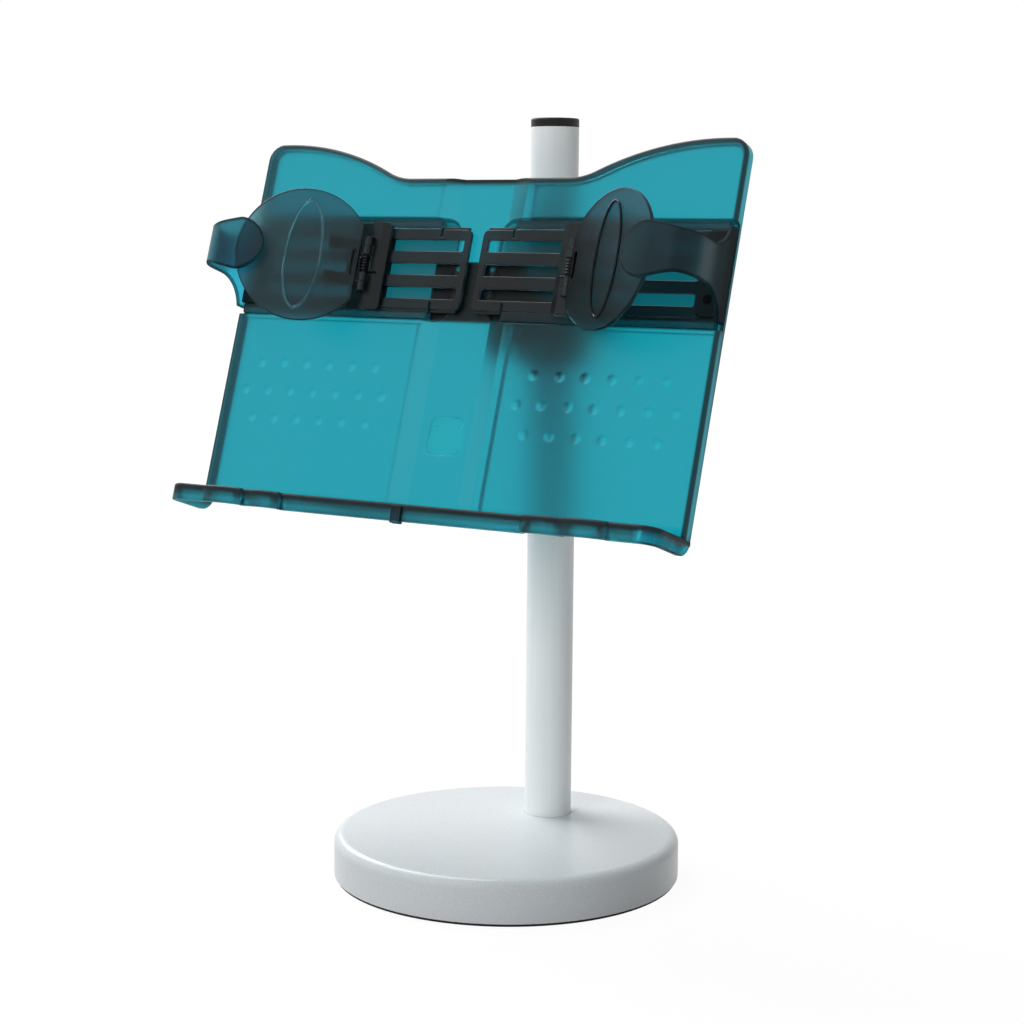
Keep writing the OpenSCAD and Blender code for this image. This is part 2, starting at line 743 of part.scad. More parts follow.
module shelf_body() {
    difference() {
        shelf_layer(0, -rim_depth, shelf_v, apron_v);
        shelf_layer(apron_t, -rim_depth - 2 * eps, shelf_under, apron_v - eps);
        for (x = [-half_w - eps, half_w - apron_t - eps])
            translate([x, apron_v, -rim_depth]) rotate([90, 0, 90]) linear_extrude(apron_t + 2 * eps)
                difference() {
                    translate([-eps, -eps]) square(heel_r + eps);
                    translate([heel_r, heel_r]) circle(r = heel_r);
                }
    }
    span([-tab_w / 2, tab_w / 2], [apron_v - tab_step, shelf_v - tab_step],
        [shelf_d - apron_t, shelf_d + tab_step]);
}

module spine_cut() {
    rotate([90, 0, 0]) translate([0, 0, -top_v - ear_rise]) linear_extrude(top_v + ear_rise - shelf_v)
        polygon([[-spine_w / 2 - eps * spine_flare, eps], [-spine_floor_w / 2, -spine_depth],
            [spine_floor_w / 2, -spine_depth], [spine_w / 2 + eps * spine_flare, eps]]);
}

module track_cut() {
    len = half_w + 2 * track_r - track_in;
    translate([track_in + len / 2, track_v, -track_depth]) linear_extrude(track_depth + eps)
        rounded_rect(len, track_w, track_r);
}

// A dimple in the page face: the cap of a sphere
module dimple() {
    rotate_extrude($fn = 24) intersection() {
        translate([0, dimple_sphere_r - dimple_h]) circle(r = dimple_sphere_r);
        translate([0, -dimple_h - eps]) square([dimple_d / 2, dimple_h + 2 * eps]);
    }
}

module page_dimples() {
    for (row = [-1 : 1]) {
        count = row == 0 ? dimple_count : dimple_count - 1;
        shift = row == 0 ? 0 : dimple_pitch / 2;
        for (i = [0 : count - 1])
            translate([dimple_u + shift + i * dimple_pitch, dimple_v + row * dimple_row, 0]) dimple();
    }
}

module board_panel() color(teal, 0.8) on_board() {
    difference() {
        union() {
            translate([0, 0, -sheet_t]) linear_extrude(sheet_t) board_outline(0, shelf_under);
            translate([0, 0, -rim_depth]) linear_extrude(rim_depth) difference() {
                board_outline(0, shelf_under);
                board_outline(rim_t, shelf_under - eps);
            }
            span([-spine_block_w / 2, spine_block_w / 2], [shelf_under, top_v], [-back_depth, 0]);
            span([-half_w, half_w], [track_v - track_half - track_wall, track_v + track_half + track_wall],
                [-back_depth, 0]);
            shelf_body();
        }
        spine_cut();
        track_cut();
        mirror([1, 0, 0]) track_cut();
        translate([0, badge_v, -spine_depth - badge_t]) linear_extrude(badge_t + eps)
            rounded_rect(badge_w + 2 * loose_fit, badge_w + 2 * loose_fit, badge_r + loose_fit);
        for (u = [-1, 1], v = [-1, 1])
            translate([u * bracket_screw_u, axis_v + v * bracket_screw_v, -back_depth - eps])
                cylinder(d = bracket_screw_d + 2 * loose_fit, h = bracket_screw_bite + 2 * eps);
        page_dimples();
        mirror([1, 0, 0]) page_dimples();
    }
}

module badge_inlay() color(teal) on_board() translate([0, badge_v, -spine_depth - badge_t])
    linear_extrude(badge_t) rounded_rect(badge_w, badge_w, badge_r);

// Rails: a lip over the slide's flange, above and below the slide
module rail_section() {
    difference() {
        translate([rail_edge, -track_depth]) square([rail_w - pass_gap, track_depth + rail_front]);
        translate([rail_edge - eps, slide_back - pass_gap])
            square([lip_over + eps, groove_top - slide_back + pass_gap]);
    }
}

module rails(side) color(smoke) half_of_board(side) translate([0, track_v, 0])
    for (flipped = [0, 1]) mirror([0, flipped, 0])
        translate([rail_in, 0, 0]) rotate([90, 0, 90]) linear_extrude(rail_out - rail_in) rail_section();

// Slides
module slide(side) color(smoke) half_of_board(side) translate([0, track_v, 0]) difference() {
    union() {
        span([slide_in, strap_u], [-slide_half, slide_half], [slide_back, slide_front]);
        span([flange_in, strap_u], [-flange_half + pass_gap, flange_half - pass_gap],
            [slide_back, slide_back + slide_flange_t]);
    }
    for (v = [-1 : 1])
        span([slide_in + slot_in, slot_out], [v * slot_pitch - slot_w / 2, v * slot_pitch + slot_w / 2],
            [slide_back - eps, slide_front + eps]);
    for (v = [-1, 1]) {
        translate([slide_in + finger_len, 0, slide_back - eps])
            linear_extrude(slide_t + 2 * eps) translate([0, v > 0 ? slide_half - finger_w : -flange_half])
                square([finger_gap, finger_w + lip_over]);
        translate([hook_screw_u, v * hook_screw_pitch / 2, slide_back - eps])
            cylinder(d = hook_screw_d + 2 * loose_fit, h = slide_t + 2 * eps);
    }
}

// Hooks: a strap along u and n, trimmed to its width
module hook_section() {
    translate([strap_u, slide_back]) square([hook_t, bend_n - slide_back]);
    intersection() {
        translate([bend_u, bend_n]) difference() {
            circle(r = hook_bend_r);
            circle(r = hook_bend_r - hook_t);
        }
        translate([bend_u, bend_n]) square(hook_bend_r + eps);
    }
    intersection() {
        translate([bend_u, sweep_n]) difference() {
            circle(r = hook_sweep_r, $fn = 128);
            circle(r = hook_sweep_r - hook_t, $fn = 128);
        }
        translate([tip_u, 0]) square([bend_u - tip_u, hook_reach + eps]);
    }
}

module hook_root_shape() {
    difference() {
        translate([slide_back, -hook_root_w / 2]) square([bend_n - slide_back + eps, hook_root_w]);
        for (v = [-1, 1]) {
            translate([root_n + hook_root_r, v * (hook_neck_w / 2 + hook_root_r)]) circle(r = hook_root_r);
            translate([root_n + hook_root_r, v > 0 ? hook_neck_w / 2 : -hook_root_w])
                square([hook_reach, hook_root_w - hook_neck_w / 2]);
        }
    }
}

module hook_tip_shape() {
    translate([tip_centre_u, 0]) circle(d = hook_tip_w);
    polygon([[tip_centre_u, -hook_tip_w / 2], [neck_u, -hook_neck_w / 2], [hook_u + eps, -hook_neck_w / 2],
        [hook_u + eps, hook_neck_w / 2], [neck_u, hook_neck_w / 2], [tip_centre_u, hook_tip_w / 2]]);
}

module hook(side) color(smoke) half_of_board(side) translate([0, track_v, 0]) {
    intersection() {
        translate([0, hook_root_w / 2, 0]) rotate([90, 0, 0]) linear_extrude(hook_root_w) hook_section();
        union() {
            translate([strap_u - eps, 0, 0]) rotate([0, -90, 180]) mirror([0, 1, 0])
                linear_extrude(hook_t + 2 * eps) hook_root_shape();
            translate([0, 0, bend_n]) linear_extrude(hook_reach) hook_tip_shape();
        }
    }
    difference() {
        span([foot_u, strap_u + eps], [-slide_half, slide_half], [slide_front, foot_front]);
        for (v = [-1, 1]) translate([hook_screw_u, v * hook_screw_pitch / 2, slide_front - eps]) {
            cylinder(d = hook_screw_d + 2 * loose_fit, h = foot_t + 2 * eps);
            translate([0, 0, foot_t - hook_head_h])
                cylinder(d = hook_head_d + 2 * loose_fit, h = hook_head_h + 2 * eps);
        }
    }
}

module hook_screws(side) color(dark_steel) half_of_board(side) translate([0, track_v, 0])
    for (v = [-1, 1])
        translate([hook_screw_u, v * hook_screw_pitch / 2, slide_back + pass_gap])
            screw(hook_screw_d, slide_t + foot_t - hook_head_h - pass_gap, hook_head_d, hook_head_h);

// Carriages: a plate on the slide that rises to a bar with knuckles, tongues in the slots, a keeper behind
module bar_section() {
    polygon([[bar_u - eps, bar_back], [plate_end_u + eps, bar_back], [plate_end_u + eps, plate_n],
        [bar_end_u, plate_n], [bar_end_u, bar_n], [bar_u + bar_slope, bar_n], [bar_u - eps, plate_n]]);
}

module carriage_plate() {
    intersection() {
        translate([0, bar_len, 0]) rotate([90, 0, 0]) linear_extrude(height = 2 * bar_len) bar_section();
        translate([(bar_u + plate_end_u) / 2, 0, bar_back - eps]) linear_extrude(height = pin_n)
            rounded_rect(plate_end_u - bar_u, bar_len, plate_corner_r);
    }
}

module carriage(side) color(smoke) half_of_board(side) translate([0, track_v, 0]) difference() {
    union() {
        carriage_plate();
        for (v = [-1, 1]) {
            span([bar_u + tongue_inset, bar_end_u - tongue_inset],
                [v * slot_pitch - tongue_w / 2, v * slot_pitch + tongue_w / 2],
                [keeper_front, bar_back + eps]);
            translate([bar_mid_u, v * slot_pitch, keeper_back])
                cylinder(d = stake_d, h = keeper_t + eps);
            translate([pin_u, v > 0 ? knuckle_out : -knuckle_in, pin_n]) rotate([90, 0, 0])
                cylinder(d = barrel_d, h = knuckle_out - knuckle_in);
            mirror([0, v > 0 ? 0 : 1, 0])
                span([pin_u - barrel_r, bar_end_u], [knuckle_in, knuckle_out], [bar_n - eps, pin_n]);
        }
    }
    translate([pin_u, knuckle_in, pin_n]) rotate([90, 0, 0]) cylinder(r = groove_r, h = 2 * knuckle_in);
    translate([pin_u, bar_len, pin_n]) rotate([90, 0, 0]) cylinder(d = pin_d + 2 * run_fit, h = 2 * bar_len);
    span([pin_u - leg_in - leg_gap, pin_u],
        [spring_v(coil_turns) - wire_d / 2 - leg_gap, spring_v(coil_turns) + wire_d / 2 + leg_gap],
        [pin_n - coil_d / 2 - wire_d / 2 - leg_gap, pin_n]);
}

module keeper(side) color(smoke) half_of_board(side) translate([0, track_v, 0]) difference() {
    span([bar_u, bar_end_u], [-keeper_len / 2, keeper_len / 2], [keeper_back, keeper_front]);
    for (v = [-1, 1]) translate([bar_mid_u, v * slot_pitch, keeper_back - eps])
        cylinder(d = stake_d + 2 * run_fit, h = keeper_t + 2 * eps);
}

module pin(side) color(dark_steel) half_of_board(side) translate([pin_u, track_v + knuckle_out, pin_n])
    rotate([90, 0, 0]) cylinder(d = pin_d, h = 2 * knuckle_out);

// Torsion springs: a wire that comes in behind the leaf, winds round the pin and ends in a groove in the bar
function spring_v(turn) = coil_len / 2 - turn * coil_pitch;

function coil_point(turn) = let (a = 270 - 360 * turn)
    [coil_d / 2 * cos(a), spring_v(turn), coil_d / 2 * sin(a)];

spring_path = concat(
    [coil_point(0) + [leg_out, 0, 0]],
    [for (i = [0 : coil_turns * coil_steps]) coil_point(i / coil_steps)],
    [coil_point(coil_turns) - [leg_in, 0, 0]]);

function unit(a) = a / norm(a);

function path_dir(p, i) = unit(p[min(i + 1, len(p) - 1)] - p[max(i - 1, 0)]);

function wire_ring(p, i) = let (
    t = path_dir(p, i),
    a = unit(cross(t, [0, 1, 0])),
    b = cross(t, a))
    [for (k = [0 : wire_sides - 1])
        let (turn = 360 * k / wire_sides) p[i] + wire_d / 2 * (cos(turn) * a + sin(turn) * b)];

spring_gap = min([for (i = [1 : coil_steps * (coil_turns - 1)], j = [coil_steps - 2 : coil_steps + 2])
    i + j < len(spring_path) - 1 ? norm(spring_path[i] - spring_path[i + j]) - wire_d : coil_pitch]);
echo(spring_gap = spring_gap);

module spring_wire() {
    rings = len(spring_path);
    s = wire_sides;
    side_faces = [for (i = [0 : rings - 2], k = [0 : s - 1], half = [0, 1])
        let (a = i * s + k, b = i * s + (k + 1) % s)
        half == 0 ? [a, b, b + s] : [a, b + s, a + s]];
    caps = [for (k = [1 : s - 2], end = [0, 1])
        let (o = (rings - 1) * s)
        end == 0 ? [0, k + 1, k] : [o, o + k, o + k + 1]];
    polyhedron([for (i = [0 : rings - 1]) each wire_ring(spring_path, i)], concat(side_faces, caps));
}

module spring(side) color(dark_steel) half_of_board(side) translate([pin_u, track_v, pin_n]) spring_wire();

// Discs: a round plate with a straight edge at the hinge, an oval rib and a slot
module oval_shape(w, len) {
    polygon([for (i = [0 : oval_steps - 1]) let (a = 360 * i / oval_steps) [w * cos(a), len * sin(a)] / 2]);
}

module disc(side) color(smoke, 0.6) on_disc(side) {
    difference() {
        translate([disc_x, 0, 0]) cylinder(d = disc_d, h = disc_t, $fn = 128);
        span([-disc_d, disc_edge], [-disc_d, disc_d], [-eps, disc_t + eps]);
        span([disc_slot_x, disc_slot_x + disc_slot_w], [-disc_slot_len / 2, disc_slot_len / 2],
            [-eps, disc_t + eps]);
        for (v = [-1, 1]) translate([rivet_x, v * rivet_y, -eps])
            cylinder(d = rivet_d + 2 * run_fit, h = disc_t + 2 * eps);
    }
    translate([disc_x, 0, disc_t - eps]) linear_extrude(oval_h + eps) difference() {
        oval_shape(oval_w, oval_len);
        oval_shape(oval_w - 2 * oval_line, oval_len - 2 * oval_line);
    }
}

// Hinge leaves: a forked plate behind the disc, with two barrels on the pin
module leaf(side) color(smoke) on_disc(side) difference() {
    union() {
        span([disc_edge, web_out], [-leaf_w / 2, leaf_w / 2], [-leaf_t, 0]);
        for (v = [[-leaf_w / 2, -leaf_w / 2 + prong_w], [leaf_w / 2 - prong_w, leaf_w / 2]])
            span([disc_edge, leaf_len], v, [-leaf_t, 0]);
        for (v = [[-barrel_out, -barrel_in], [barrel_in, barrel_out]]) {
            span([0, disc_edge + eps], v, [-leaf_t, 0]);
            translate([0, v[1], 0]) rotate([90, 0, 0]) cylinder(d = barrel_d, h = v[1] - v[0]);
        }
    }
    translate([0, leaf_w, 0]) rotate([90, 0, 0]) cylinder(d = pin_d + 2 * run_fit, h = 2 * leaf_w);
    for (v = [-1, 1]) translate([rivet_x, v * rivet_y, -leaf_t - eps])
        cylinder(d = rivet_d + 2 * run_fit, h = leaf_t + 2 * eps);
}

module rivets(side) color(dark_steel) on_disc(side)
    for (v = [-1, 1]) translate([rivet_x, v * rivet_y, -leaf_t]) {
        cylinder(d = rivet_d, h = leaf_t + disc_t - rivet_sunk);
        translate([0, 0, -rivet_head_h]) cylinder(d = rivet_head_d, h = rivet_head_h);
    }

base_cover();
base_weight();
base_foot_pad();
base_bolt();
base_washer();
pole_tube();
pole_plug();
pole_cap();
clamp_bush();
bush_ring();
clamp_body();
clamp_shoe();
clamp_nut();
clamp_knob();
clamp_stud();
tilt_arm();
arm_screws();
back_bracket();
bracket_screws();
tilt_bolt();
tilt_washers();
tilt_knob();
tilt_insert();
board_panel();
badge_inlay();
rails(-1);  // left_rails
rails(1);  // right_rails
slide(-1);  // left_slide
slide(1);  // right_slide
hook(-1);  // left_hook
hook(1);  // right_hook
hook_screws(-1);  // left_hook_screws
hook_screws(1);  // right_hook_screws
carriage(-1);  // left_carriage
carriage(1);  // right_carriage
keeper(-1);  // left_keeper
keeper(1);  // right_keeper
pin(-1);  // left_pin
pin(1);  // right_pin
spring(-1);  // left_spring
spring(1);  // right_spring
disc(-1);  // left_disc
disc(1);  // right_disc
leaf(-1);  // left_leaf
leaf(1);  // right_leaf
rivets(-1);  // left_rivets
rivets(1);  // right_rivets
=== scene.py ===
"""Looks of a desk book stand: round weighted base, pole, sliding clamp, tilting tinted board, page holders.

Lengths are in millimetres until a mesh is made. The board has its own axes: u to the reader's right,
v up the board and n out of its front face. Every new piece is a surface over a grid of two parameters,
or a section carried along a path, worked out as whole arrays.
"""
import json
import math

import bpy
import numpy as np
from mathutils import Matrix, Vector
from mathutils.geometry import tessellate_polygon


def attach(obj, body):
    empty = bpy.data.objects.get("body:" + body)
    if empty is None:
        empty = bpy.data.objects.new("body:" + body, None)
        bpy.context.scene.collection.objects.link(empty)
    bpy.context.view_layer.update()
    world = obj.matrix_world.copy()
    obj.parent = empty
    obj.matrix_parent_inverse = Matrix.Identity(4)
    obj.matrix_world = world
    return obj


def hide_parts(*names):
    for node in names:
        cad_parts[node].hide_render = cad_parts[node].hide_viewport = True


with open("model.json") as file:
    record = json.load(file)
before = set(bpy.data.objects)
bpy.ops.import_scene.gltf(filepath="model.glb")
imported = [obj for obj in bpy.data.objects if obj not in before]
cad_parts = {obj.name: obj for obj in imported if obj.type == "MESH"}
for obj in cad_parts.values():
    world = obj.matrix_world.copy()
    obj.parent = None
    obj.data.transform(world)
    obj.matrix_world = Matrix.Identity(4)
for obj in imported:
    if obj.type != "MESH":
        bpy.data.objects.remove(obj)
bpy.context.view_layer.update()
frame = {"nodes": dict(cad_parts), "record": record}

# Sizes repeated from the part's source
TILT = math.radians(18)
POLE_BACK, ARM_REACH = 42.0, 59.5
AXIS_Y, AXIS_Z = POLE_BACK - ARM_REACH, 298.7
AXIS_V, AXIS_N = 38.0, -24.0
HALF_W, TOP_V, EAR_RISE, EAR_U, TOP_FLAT = 140.0, 95.0, 19.0, 128.0, 46.0
HOLLOW_R, CORNER_R = 34.0, 9.0
CROWN_R = ((EAR_U - TOP_FLAT) ** 2 + EAR_RISE ** 2) / (2 * EAR_RISE) - HOLLOW_R
SHEET_T, RIM_DEPTH, RIM_T, BACK_DEPTH = 2.6, 7.0, 2.4, 6.7
BLOCK_HALF, BLOCK_MARGIN = 27.0, 2.0
SPINE_W, SPINE_FLOOR_W, SPINE_DEPTH = 49.0, 29.0, 3.5
SHELF_V, SHELF_D, APRON_V, APRON_T = -75.5, 25.0, -84.0, 2.4
TAB_HALF, TAB_STEP = 2.75, 1.2
SCALLOP_ENDS, SCALLOP_STEPS, SCALLOP_RISE = (70.0, 92.0, 116.0, 140.0), (2.2, 4.2, 3.4), 1.6
TRACK_V, TRACK_HALF, TRACK_IN, TRACK_DEPTH, TRACK_R = 47.5, 25.5, 13.0, 4.5, 6.0
BADGE_W, BADGE_V, BADGE_T, BADGE_R, SEAT_HALF, SEAT_R = 19.0, -36.0, 0.8, 3.8, 9.6, 3.9
DIMPLE_R, DIMPLE_H, DIMPLE_PITCH = 2.7, 0.8, 14.3
DIMPLE_ROWS = ((-18.9, 39.3, 7), (-4.4, 46.45, 6), (-33.4, 46.45, 6))
SLIDE_IN, SLIDE_OUT, SLIDE_HALF, SLIDE_BACK, SLIDE_FRONT = 3.5, 138.3, 20.6, -2.6, -0.4
SLOT_IN, SLOT_OUT, SLOT_HALF, SLOT_PITCH = 7.0, 125.0, 3.0, 12.3
NOTCH_IN, NOTCH_OUT, NOTCH_V = 20.5, 21.7, 16.6
FLANGE_IN, FLANGE_HALF, FLANGE_W, FLANGE_T = 5.5, 22.0, 1.38, 1.2
HOOK_U, HOOK_T, BEND_U, BEND_N, BEND_R, SWEEP_R, TIP_U = 140.5, 2.2, 126.5, 26.5, 14.0, 70.0, 103.0
FOOT_IN = 127.0
ROOT_HALF, NECK_HALF, ROOT_N, ROOT_R, PADDLE_R = 23.0, 10.25, 1.4, 18.0, 13.6
OVAL_HALF_W, OVAL_HALF_H = 9.0, 28.0
PIN_U, PIN_N, DISC_OPEN = 60.0, 6.0, math.radians(26)
DISC_R, DISC_X, DISC_EDGE, DISC_T = 34.2, 32.0, 3.4, 2.0
DISC_SLOT_IN, DISC_SLOT_OUT, DISC_SLOT_HALF = 5.0, 6.6, 6.5
CLEAR = 0.02  # keeps two faces from lying in one plane
MM = 0.001  # in metres


# Places

def on_board(p):
    """Board point (u, v, n) in millimetres to metres: the board leans back about the tilt axis."""
    u, v, n = p[..., 0], p[..., 1] - AXIS_V, p[..., 2] - AXIS_N
    y = AXIS_Y + v * math.sin(TILT) - n * math.cos(TILT)
    z = AXIS_Z + v * math.cos(TILT) + n * math.sin(TILT)
    return np.stack([u, y, z], -1) * MM


def on_track(p):
    """A point measured from the middle line of the page tracks to metres."""
    return on_board(p + np.array([0.0, TRACK_V, 0.0]))


def on_hinge(p):
    """Disc point (x from the hinge pin, y along it, z out of the disc) to metres, swung open on its half."""
    half = np.sign(p[..., 0].mean())
    x, y, z = p[..., 0] * half, p[..., 1], p[..., 2]
    u = PIN_U + x * math.cos(DISC_OPEN) - z * math.sin(DISC_OPEN)
    n = PIN_N + x * math.sin(DISC_OPEN) + z * math.cos(DISC_OPEN)
    return on_track(np.stack([u * half, y, n], -1))


# Surfaces

class Shell:
    """Closed surfaces in one mesh: points in millimetres, faces, which faces are curved, and depth.

    Depth is painted shade and painted light on the plastic, named for how much plastic lies behind a point:
    0 in a plain sheet, 1 at a dark edge in painted shade, and below 0 where painted light makes it lighter
    than its sheet."""

    def __init__(self):
        self.points, self.depth, self.faces, self.curved, self.count = [], [], [], [], 0

    def add(self, points, faces, depth=0.0):
        """Takes (k, 3) points with their depth, and a list of curved faces that index them."""
        points = np.asarray(points, float).reshape(-1, 3)
        self.points.append(points)
        self.depth.append(np.broadcast_to(np.asarray(depth, float).reshape(-1), (len(points),)))
        self.cover(np.asarray(faces) + self.count, True)
        self.count += len(points)
        return self

    def cover(self, faces, curved):
        """Adds faces over points that are already there."""
        self.faces += [tuple(f) for f in np.asarray(faces).tolist()]
        self.curved += [curved] * len(faces)

    def piece(self, name, place, body, slot, material, replaces=(), mirror=False):
        """Puts the shell into a mesh; mirror turns it to the left half, with its faces turned round."""
        points, faces = np.concatenate(self.points), self.faces
        if mirror:
            points = points * np.array([-1.0, 1.0, 1.0])
            faces = [f[::-1] for f in faces]
        mesh = bpy.data.meshes.new(name)
        mesh.from_pydata(place(points).tolist(), [], faces)
        mesh.polygons.foreach_set("use_smooth", np.array(self.curved, bool))
        mesh.attributes.new("depth", "FLOAT", "POINT").data.foreach_set("value", np.concatenate(self.depth))
        mesh.materials.append(material)
        mesh.update()
        piece = bpy.data.objects.new(name, mesh)
        bpy.context.scene.collection.objects.link(piece)
        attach(piece, body)
        if replaces:
            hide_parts(*replaces)
        return piece


def grid_faces(rows, cols, start=0, wrap=False, close=False):
    """Quads of a rows by cols grid; wrap joins the last column to the first, and close the last row."""
    index = start + np.arange(rows * cols).reshape(rows, cols)
    if wrap:
        index = np.concatenate([index, index[:, :1]], 1)
    if close:
        index = np.concatenate([index, index[:1]], 0)
    a, b, c, d = index[:-1, :-1], index[1:, :-1], index[1:, 1:], index[:-1, 1:]
    return np.stack([a, b, c, d], -1).reshape(-1, 4)


def slab(shell, front, back, front_shade_and_light, back_shade_and_light, wall):
    """A closed body between two surfaces over one grid: both surfaces, and a wall round their edge.

    wall lists rings between the two edges: how far down each lies, from 0 to 1, and its depth, the painted
    shade of the ring, which is a number or a function of the ring's points."""
    rows, cols = front.shape[:2]
    total = rows * cols
    index = np.arange(total).reshape(rows, cols)
    edge = np.concatenate([index[:-1, 0], index[-1, :-1], index[:0:-1, -1], index[0, :0:-1]])
    top, low = front.reshape(-1, 3), back.reshape(-1, 3)
    rings = [top[edge] * (1 - f) + low[edge] * f for f, _ in wall]
    depth = [np.broadcast_to(d(r) if callable(d) else d, (len(edge),)) for (_, d), r in zip(wall, rings)]
    between = [2 * total + k * len(edge) + np.arange(len(edge)) for k in range(len(wall))]
    chain = [edge] + between + [edge + total]
    sides = [np.stack([a, b, np.roll(b, -1), np.roll(a, -1)], -1) for a, b in zip(chain[:-1], chain[1:])]
    faces = np.concatenate([grid_faces(rows, cols), grid_faces(rows, cols, total)[:, ::-1]] + sides)
    return shell.add(np.concatenate([top, low] + rings), faces,
                     depth=np.concatenate([front_shade_and_light.ravel(), back_shade_and_light.ravel()] + depth))


def inward(loop):
    """Unit normals to the left of a closed loop, lengthened at corners so that an inset keeps its width."""
    ahead = np.roll(loop, -1, 0) - loop
    ahead /= np.linalg.norm(ahead, axis=1)[:, None]
    left = np.stack([-ahead[:, 1], ahead[:, 0]], -1)
    mean = left + np.roll(left, 1, 0)
    mean /= np.linalg.norm(mean, axis=1)[:, None]
    return mean / np.maximum((mean * left).sum(1), 0.5)[:, None]


def plate(shell, loops, low, high, edge, steps=4, depth=0.0, painted_edge_shade=0.0):
    """A flat plate with rounded edges: a quarter-round section carried along each loop, and flat caps.

    The first loop runs anticlockwise round the plate, the others clockwise round its holes."""
    turn = np.linspace(0, math.pi / 2, steps + 1)
    inset = np.concatenate([edge * (1 - np.sin(turn)), edge * (1 - np.cos(turn))])
    height = np.concatenate([high - edge * (1 - np.cos(turn)), low + edge * (1 - np.sin(turn))])
    # Painted tone: depth on the flat caps, and the edge's own painted shade on the rounding.
    tone = np.concatenate([[depth], np.full(2 * steps, painted_edge_shade), [depth]])
    rings = [loop[None] + inset[:, None, None] * inward(loop)[None] for loop in loops]
    front, back = [], []
    for ring in rings:
        rows, cols = ring.shape[:2]
        level = np.broadcast_to(height[:, None, None], (rows, cols, 1))
        front.append(shell.count + np.arange(cols))
        back.append(shell.count + (rows - 1) * cols + np.arange(cols))
        shell.add(np.concatenate([ring, level], -1), grid_faces(rows, cols, wrap=True),
                  depth=np.repeat(tone, cols))
    flat = np.concatenate([ring[0] for ring in rings])
    front, back = np.concatenate(front), np.concatenate(back)
    tri = np.array(tessellate_polygon([[Vector((x, y, 0)) for x, y in ring[0]] for ring in rings]))
    a, b, c = flat[tri[:, 0]], flat[tri[:, 1]], flat[tri[:, 2]]
    area = (b[:, 0] - a[:, 0]) * (c[:, 1] - a[:, 1]) - (b[:, 1] - a[:, 1]) * (c[:, 0] - a[:, 0])
    tri = np.where(area[:, None] < 0, tri[:, ::-1], tri)
    shell.cover(front[tri], False)
    shell.cover(back[tri[:, ::-1]], False)
    return shell


def arc(centre, radius, start, end, count):
    """Points of an arc, angles in degrees."""
    a = np.radians(np.linspace(start, end, count))
    return np.stack([centre[0] + radius * np.cos(a), centre[1] + radius * np.sin(a)], -1)


def rounded(corners, radii, count=5):
    """Loop of a polygon whose corners are arcs: each touches both sides, its centre on the bisector."""
    p = np.array(corners, float)
    r = np.broadcast_to(np.array(radii, float), (len(p),))[:, None]
    before, after = np.roll(p, 1, 0) - p, np.roll(p, -1, 0) - p
    before /= np.linalg.norm(before, axis=1)[:, None]
    after /= np.linalg.norm(after, axis=1)[:, None]
    half = np.arccos(np.clip((before * after).sum(1), -1, 1))[:, None] / 2
    bisector = before + after
    bisector /= np.linalg.norm(bisector, axis=1)[:, None]
    centre = p + bisector * r / np.sin(half)
    start = p + before * r / np.tan(half) - centre
    end = p + after * r / np.tan(half) - centre
    a0, a1 = np.arctan2(start[:, 1], start[:, 0]), np.arctan2(end[:, 1], end[:, 0])
    swing = (a1 - a0 + math.pi) % (2 * math.pi) - math.pi
    a = a0[:, None] + swing[:, None] * np.linspace(0, 1, count)
    return (centre[:, None] + r[:, None] * np.stack([np.cos(a), np.sin(a)], -1)).reshape(-1, 2)


def box_loop(low, high, radii, count=5):
    """Loop of a rectangle with rounded corners, anticlockwise from the lower right."""
    return rounded([(high[0], low[1]), high, (low[0], high[1]), low], radii, count)


def strap(shell, path, side, out, half_w, half_t, edge, margin, depth, steps=4):
    """A section carried along a path: a rounded rectangle, half_w along side and half_t along out.

    Each corner of the section is a quarter circle of radius edge. The rounded edges get painted shade, fading
    over a margin inside each edge, and inside it depth gives the painted tone for each place of the path."""
    turn = np.linspace(0, math.pi / 2, steps + 1)
    quarter, half, three = math.pi / 2, math.pi, 1.5 * math.pi
    angle = np.concatenate([turn, [quarter, quarter], turn + quarter,
                            turn + half, [three, three], turn + three])
    sx = np.repeat([1, 1, -1, -1, -1, -1, 1, 1],
                   [steps + 1, 1, 1, steps + 1, steps + 1, 1, 1, steps + 1])
    sy = np.repeat([1, -1], [2 * steps + 4, 2 * steps + 4])
    inset = np.zeros(len(angle))
    inset[[steps + 1, steps + 2, 3 * steps + 5, 3 * steps + 6]] = margin
    r = np.minimum(edge, half_w)[:, None]
    x = sx * np.maximum(half_w[:, None] - r - inset, 0) + r * np.cos(angle)
    y = np.broadcast_to(sy * (half_t - edge) + edge * np.sin(angle), x.shape)
    points = path[:, None] + x[..., None] * side[:, None] + y[..., None] * out[:, None]
    rows, cols = x.shape
    base = shell.count
    tone = np.where(inset[None] > 0, depth[:, None], 1.0)
    shell.add(points, grid_faces(rows, cols, wrap=True), depth=tone.ravel())
    first, last = np.arange(base + cols - 1, base - 1, -1), base + (rows - 1) * cols + np.arange(cols)
    shell.cover([first, last], False)
    return shell


# Finishes

def colour(r, g, b):
    """A colour written from 0 to 255, as linear light."""
    c = np.array([r, g, b]) / 255
    return (*np.where(c <= 0.04045, c / 12.92, ((c + 0.055) / 1.055) ** 2.4).tolist(), 1.0)


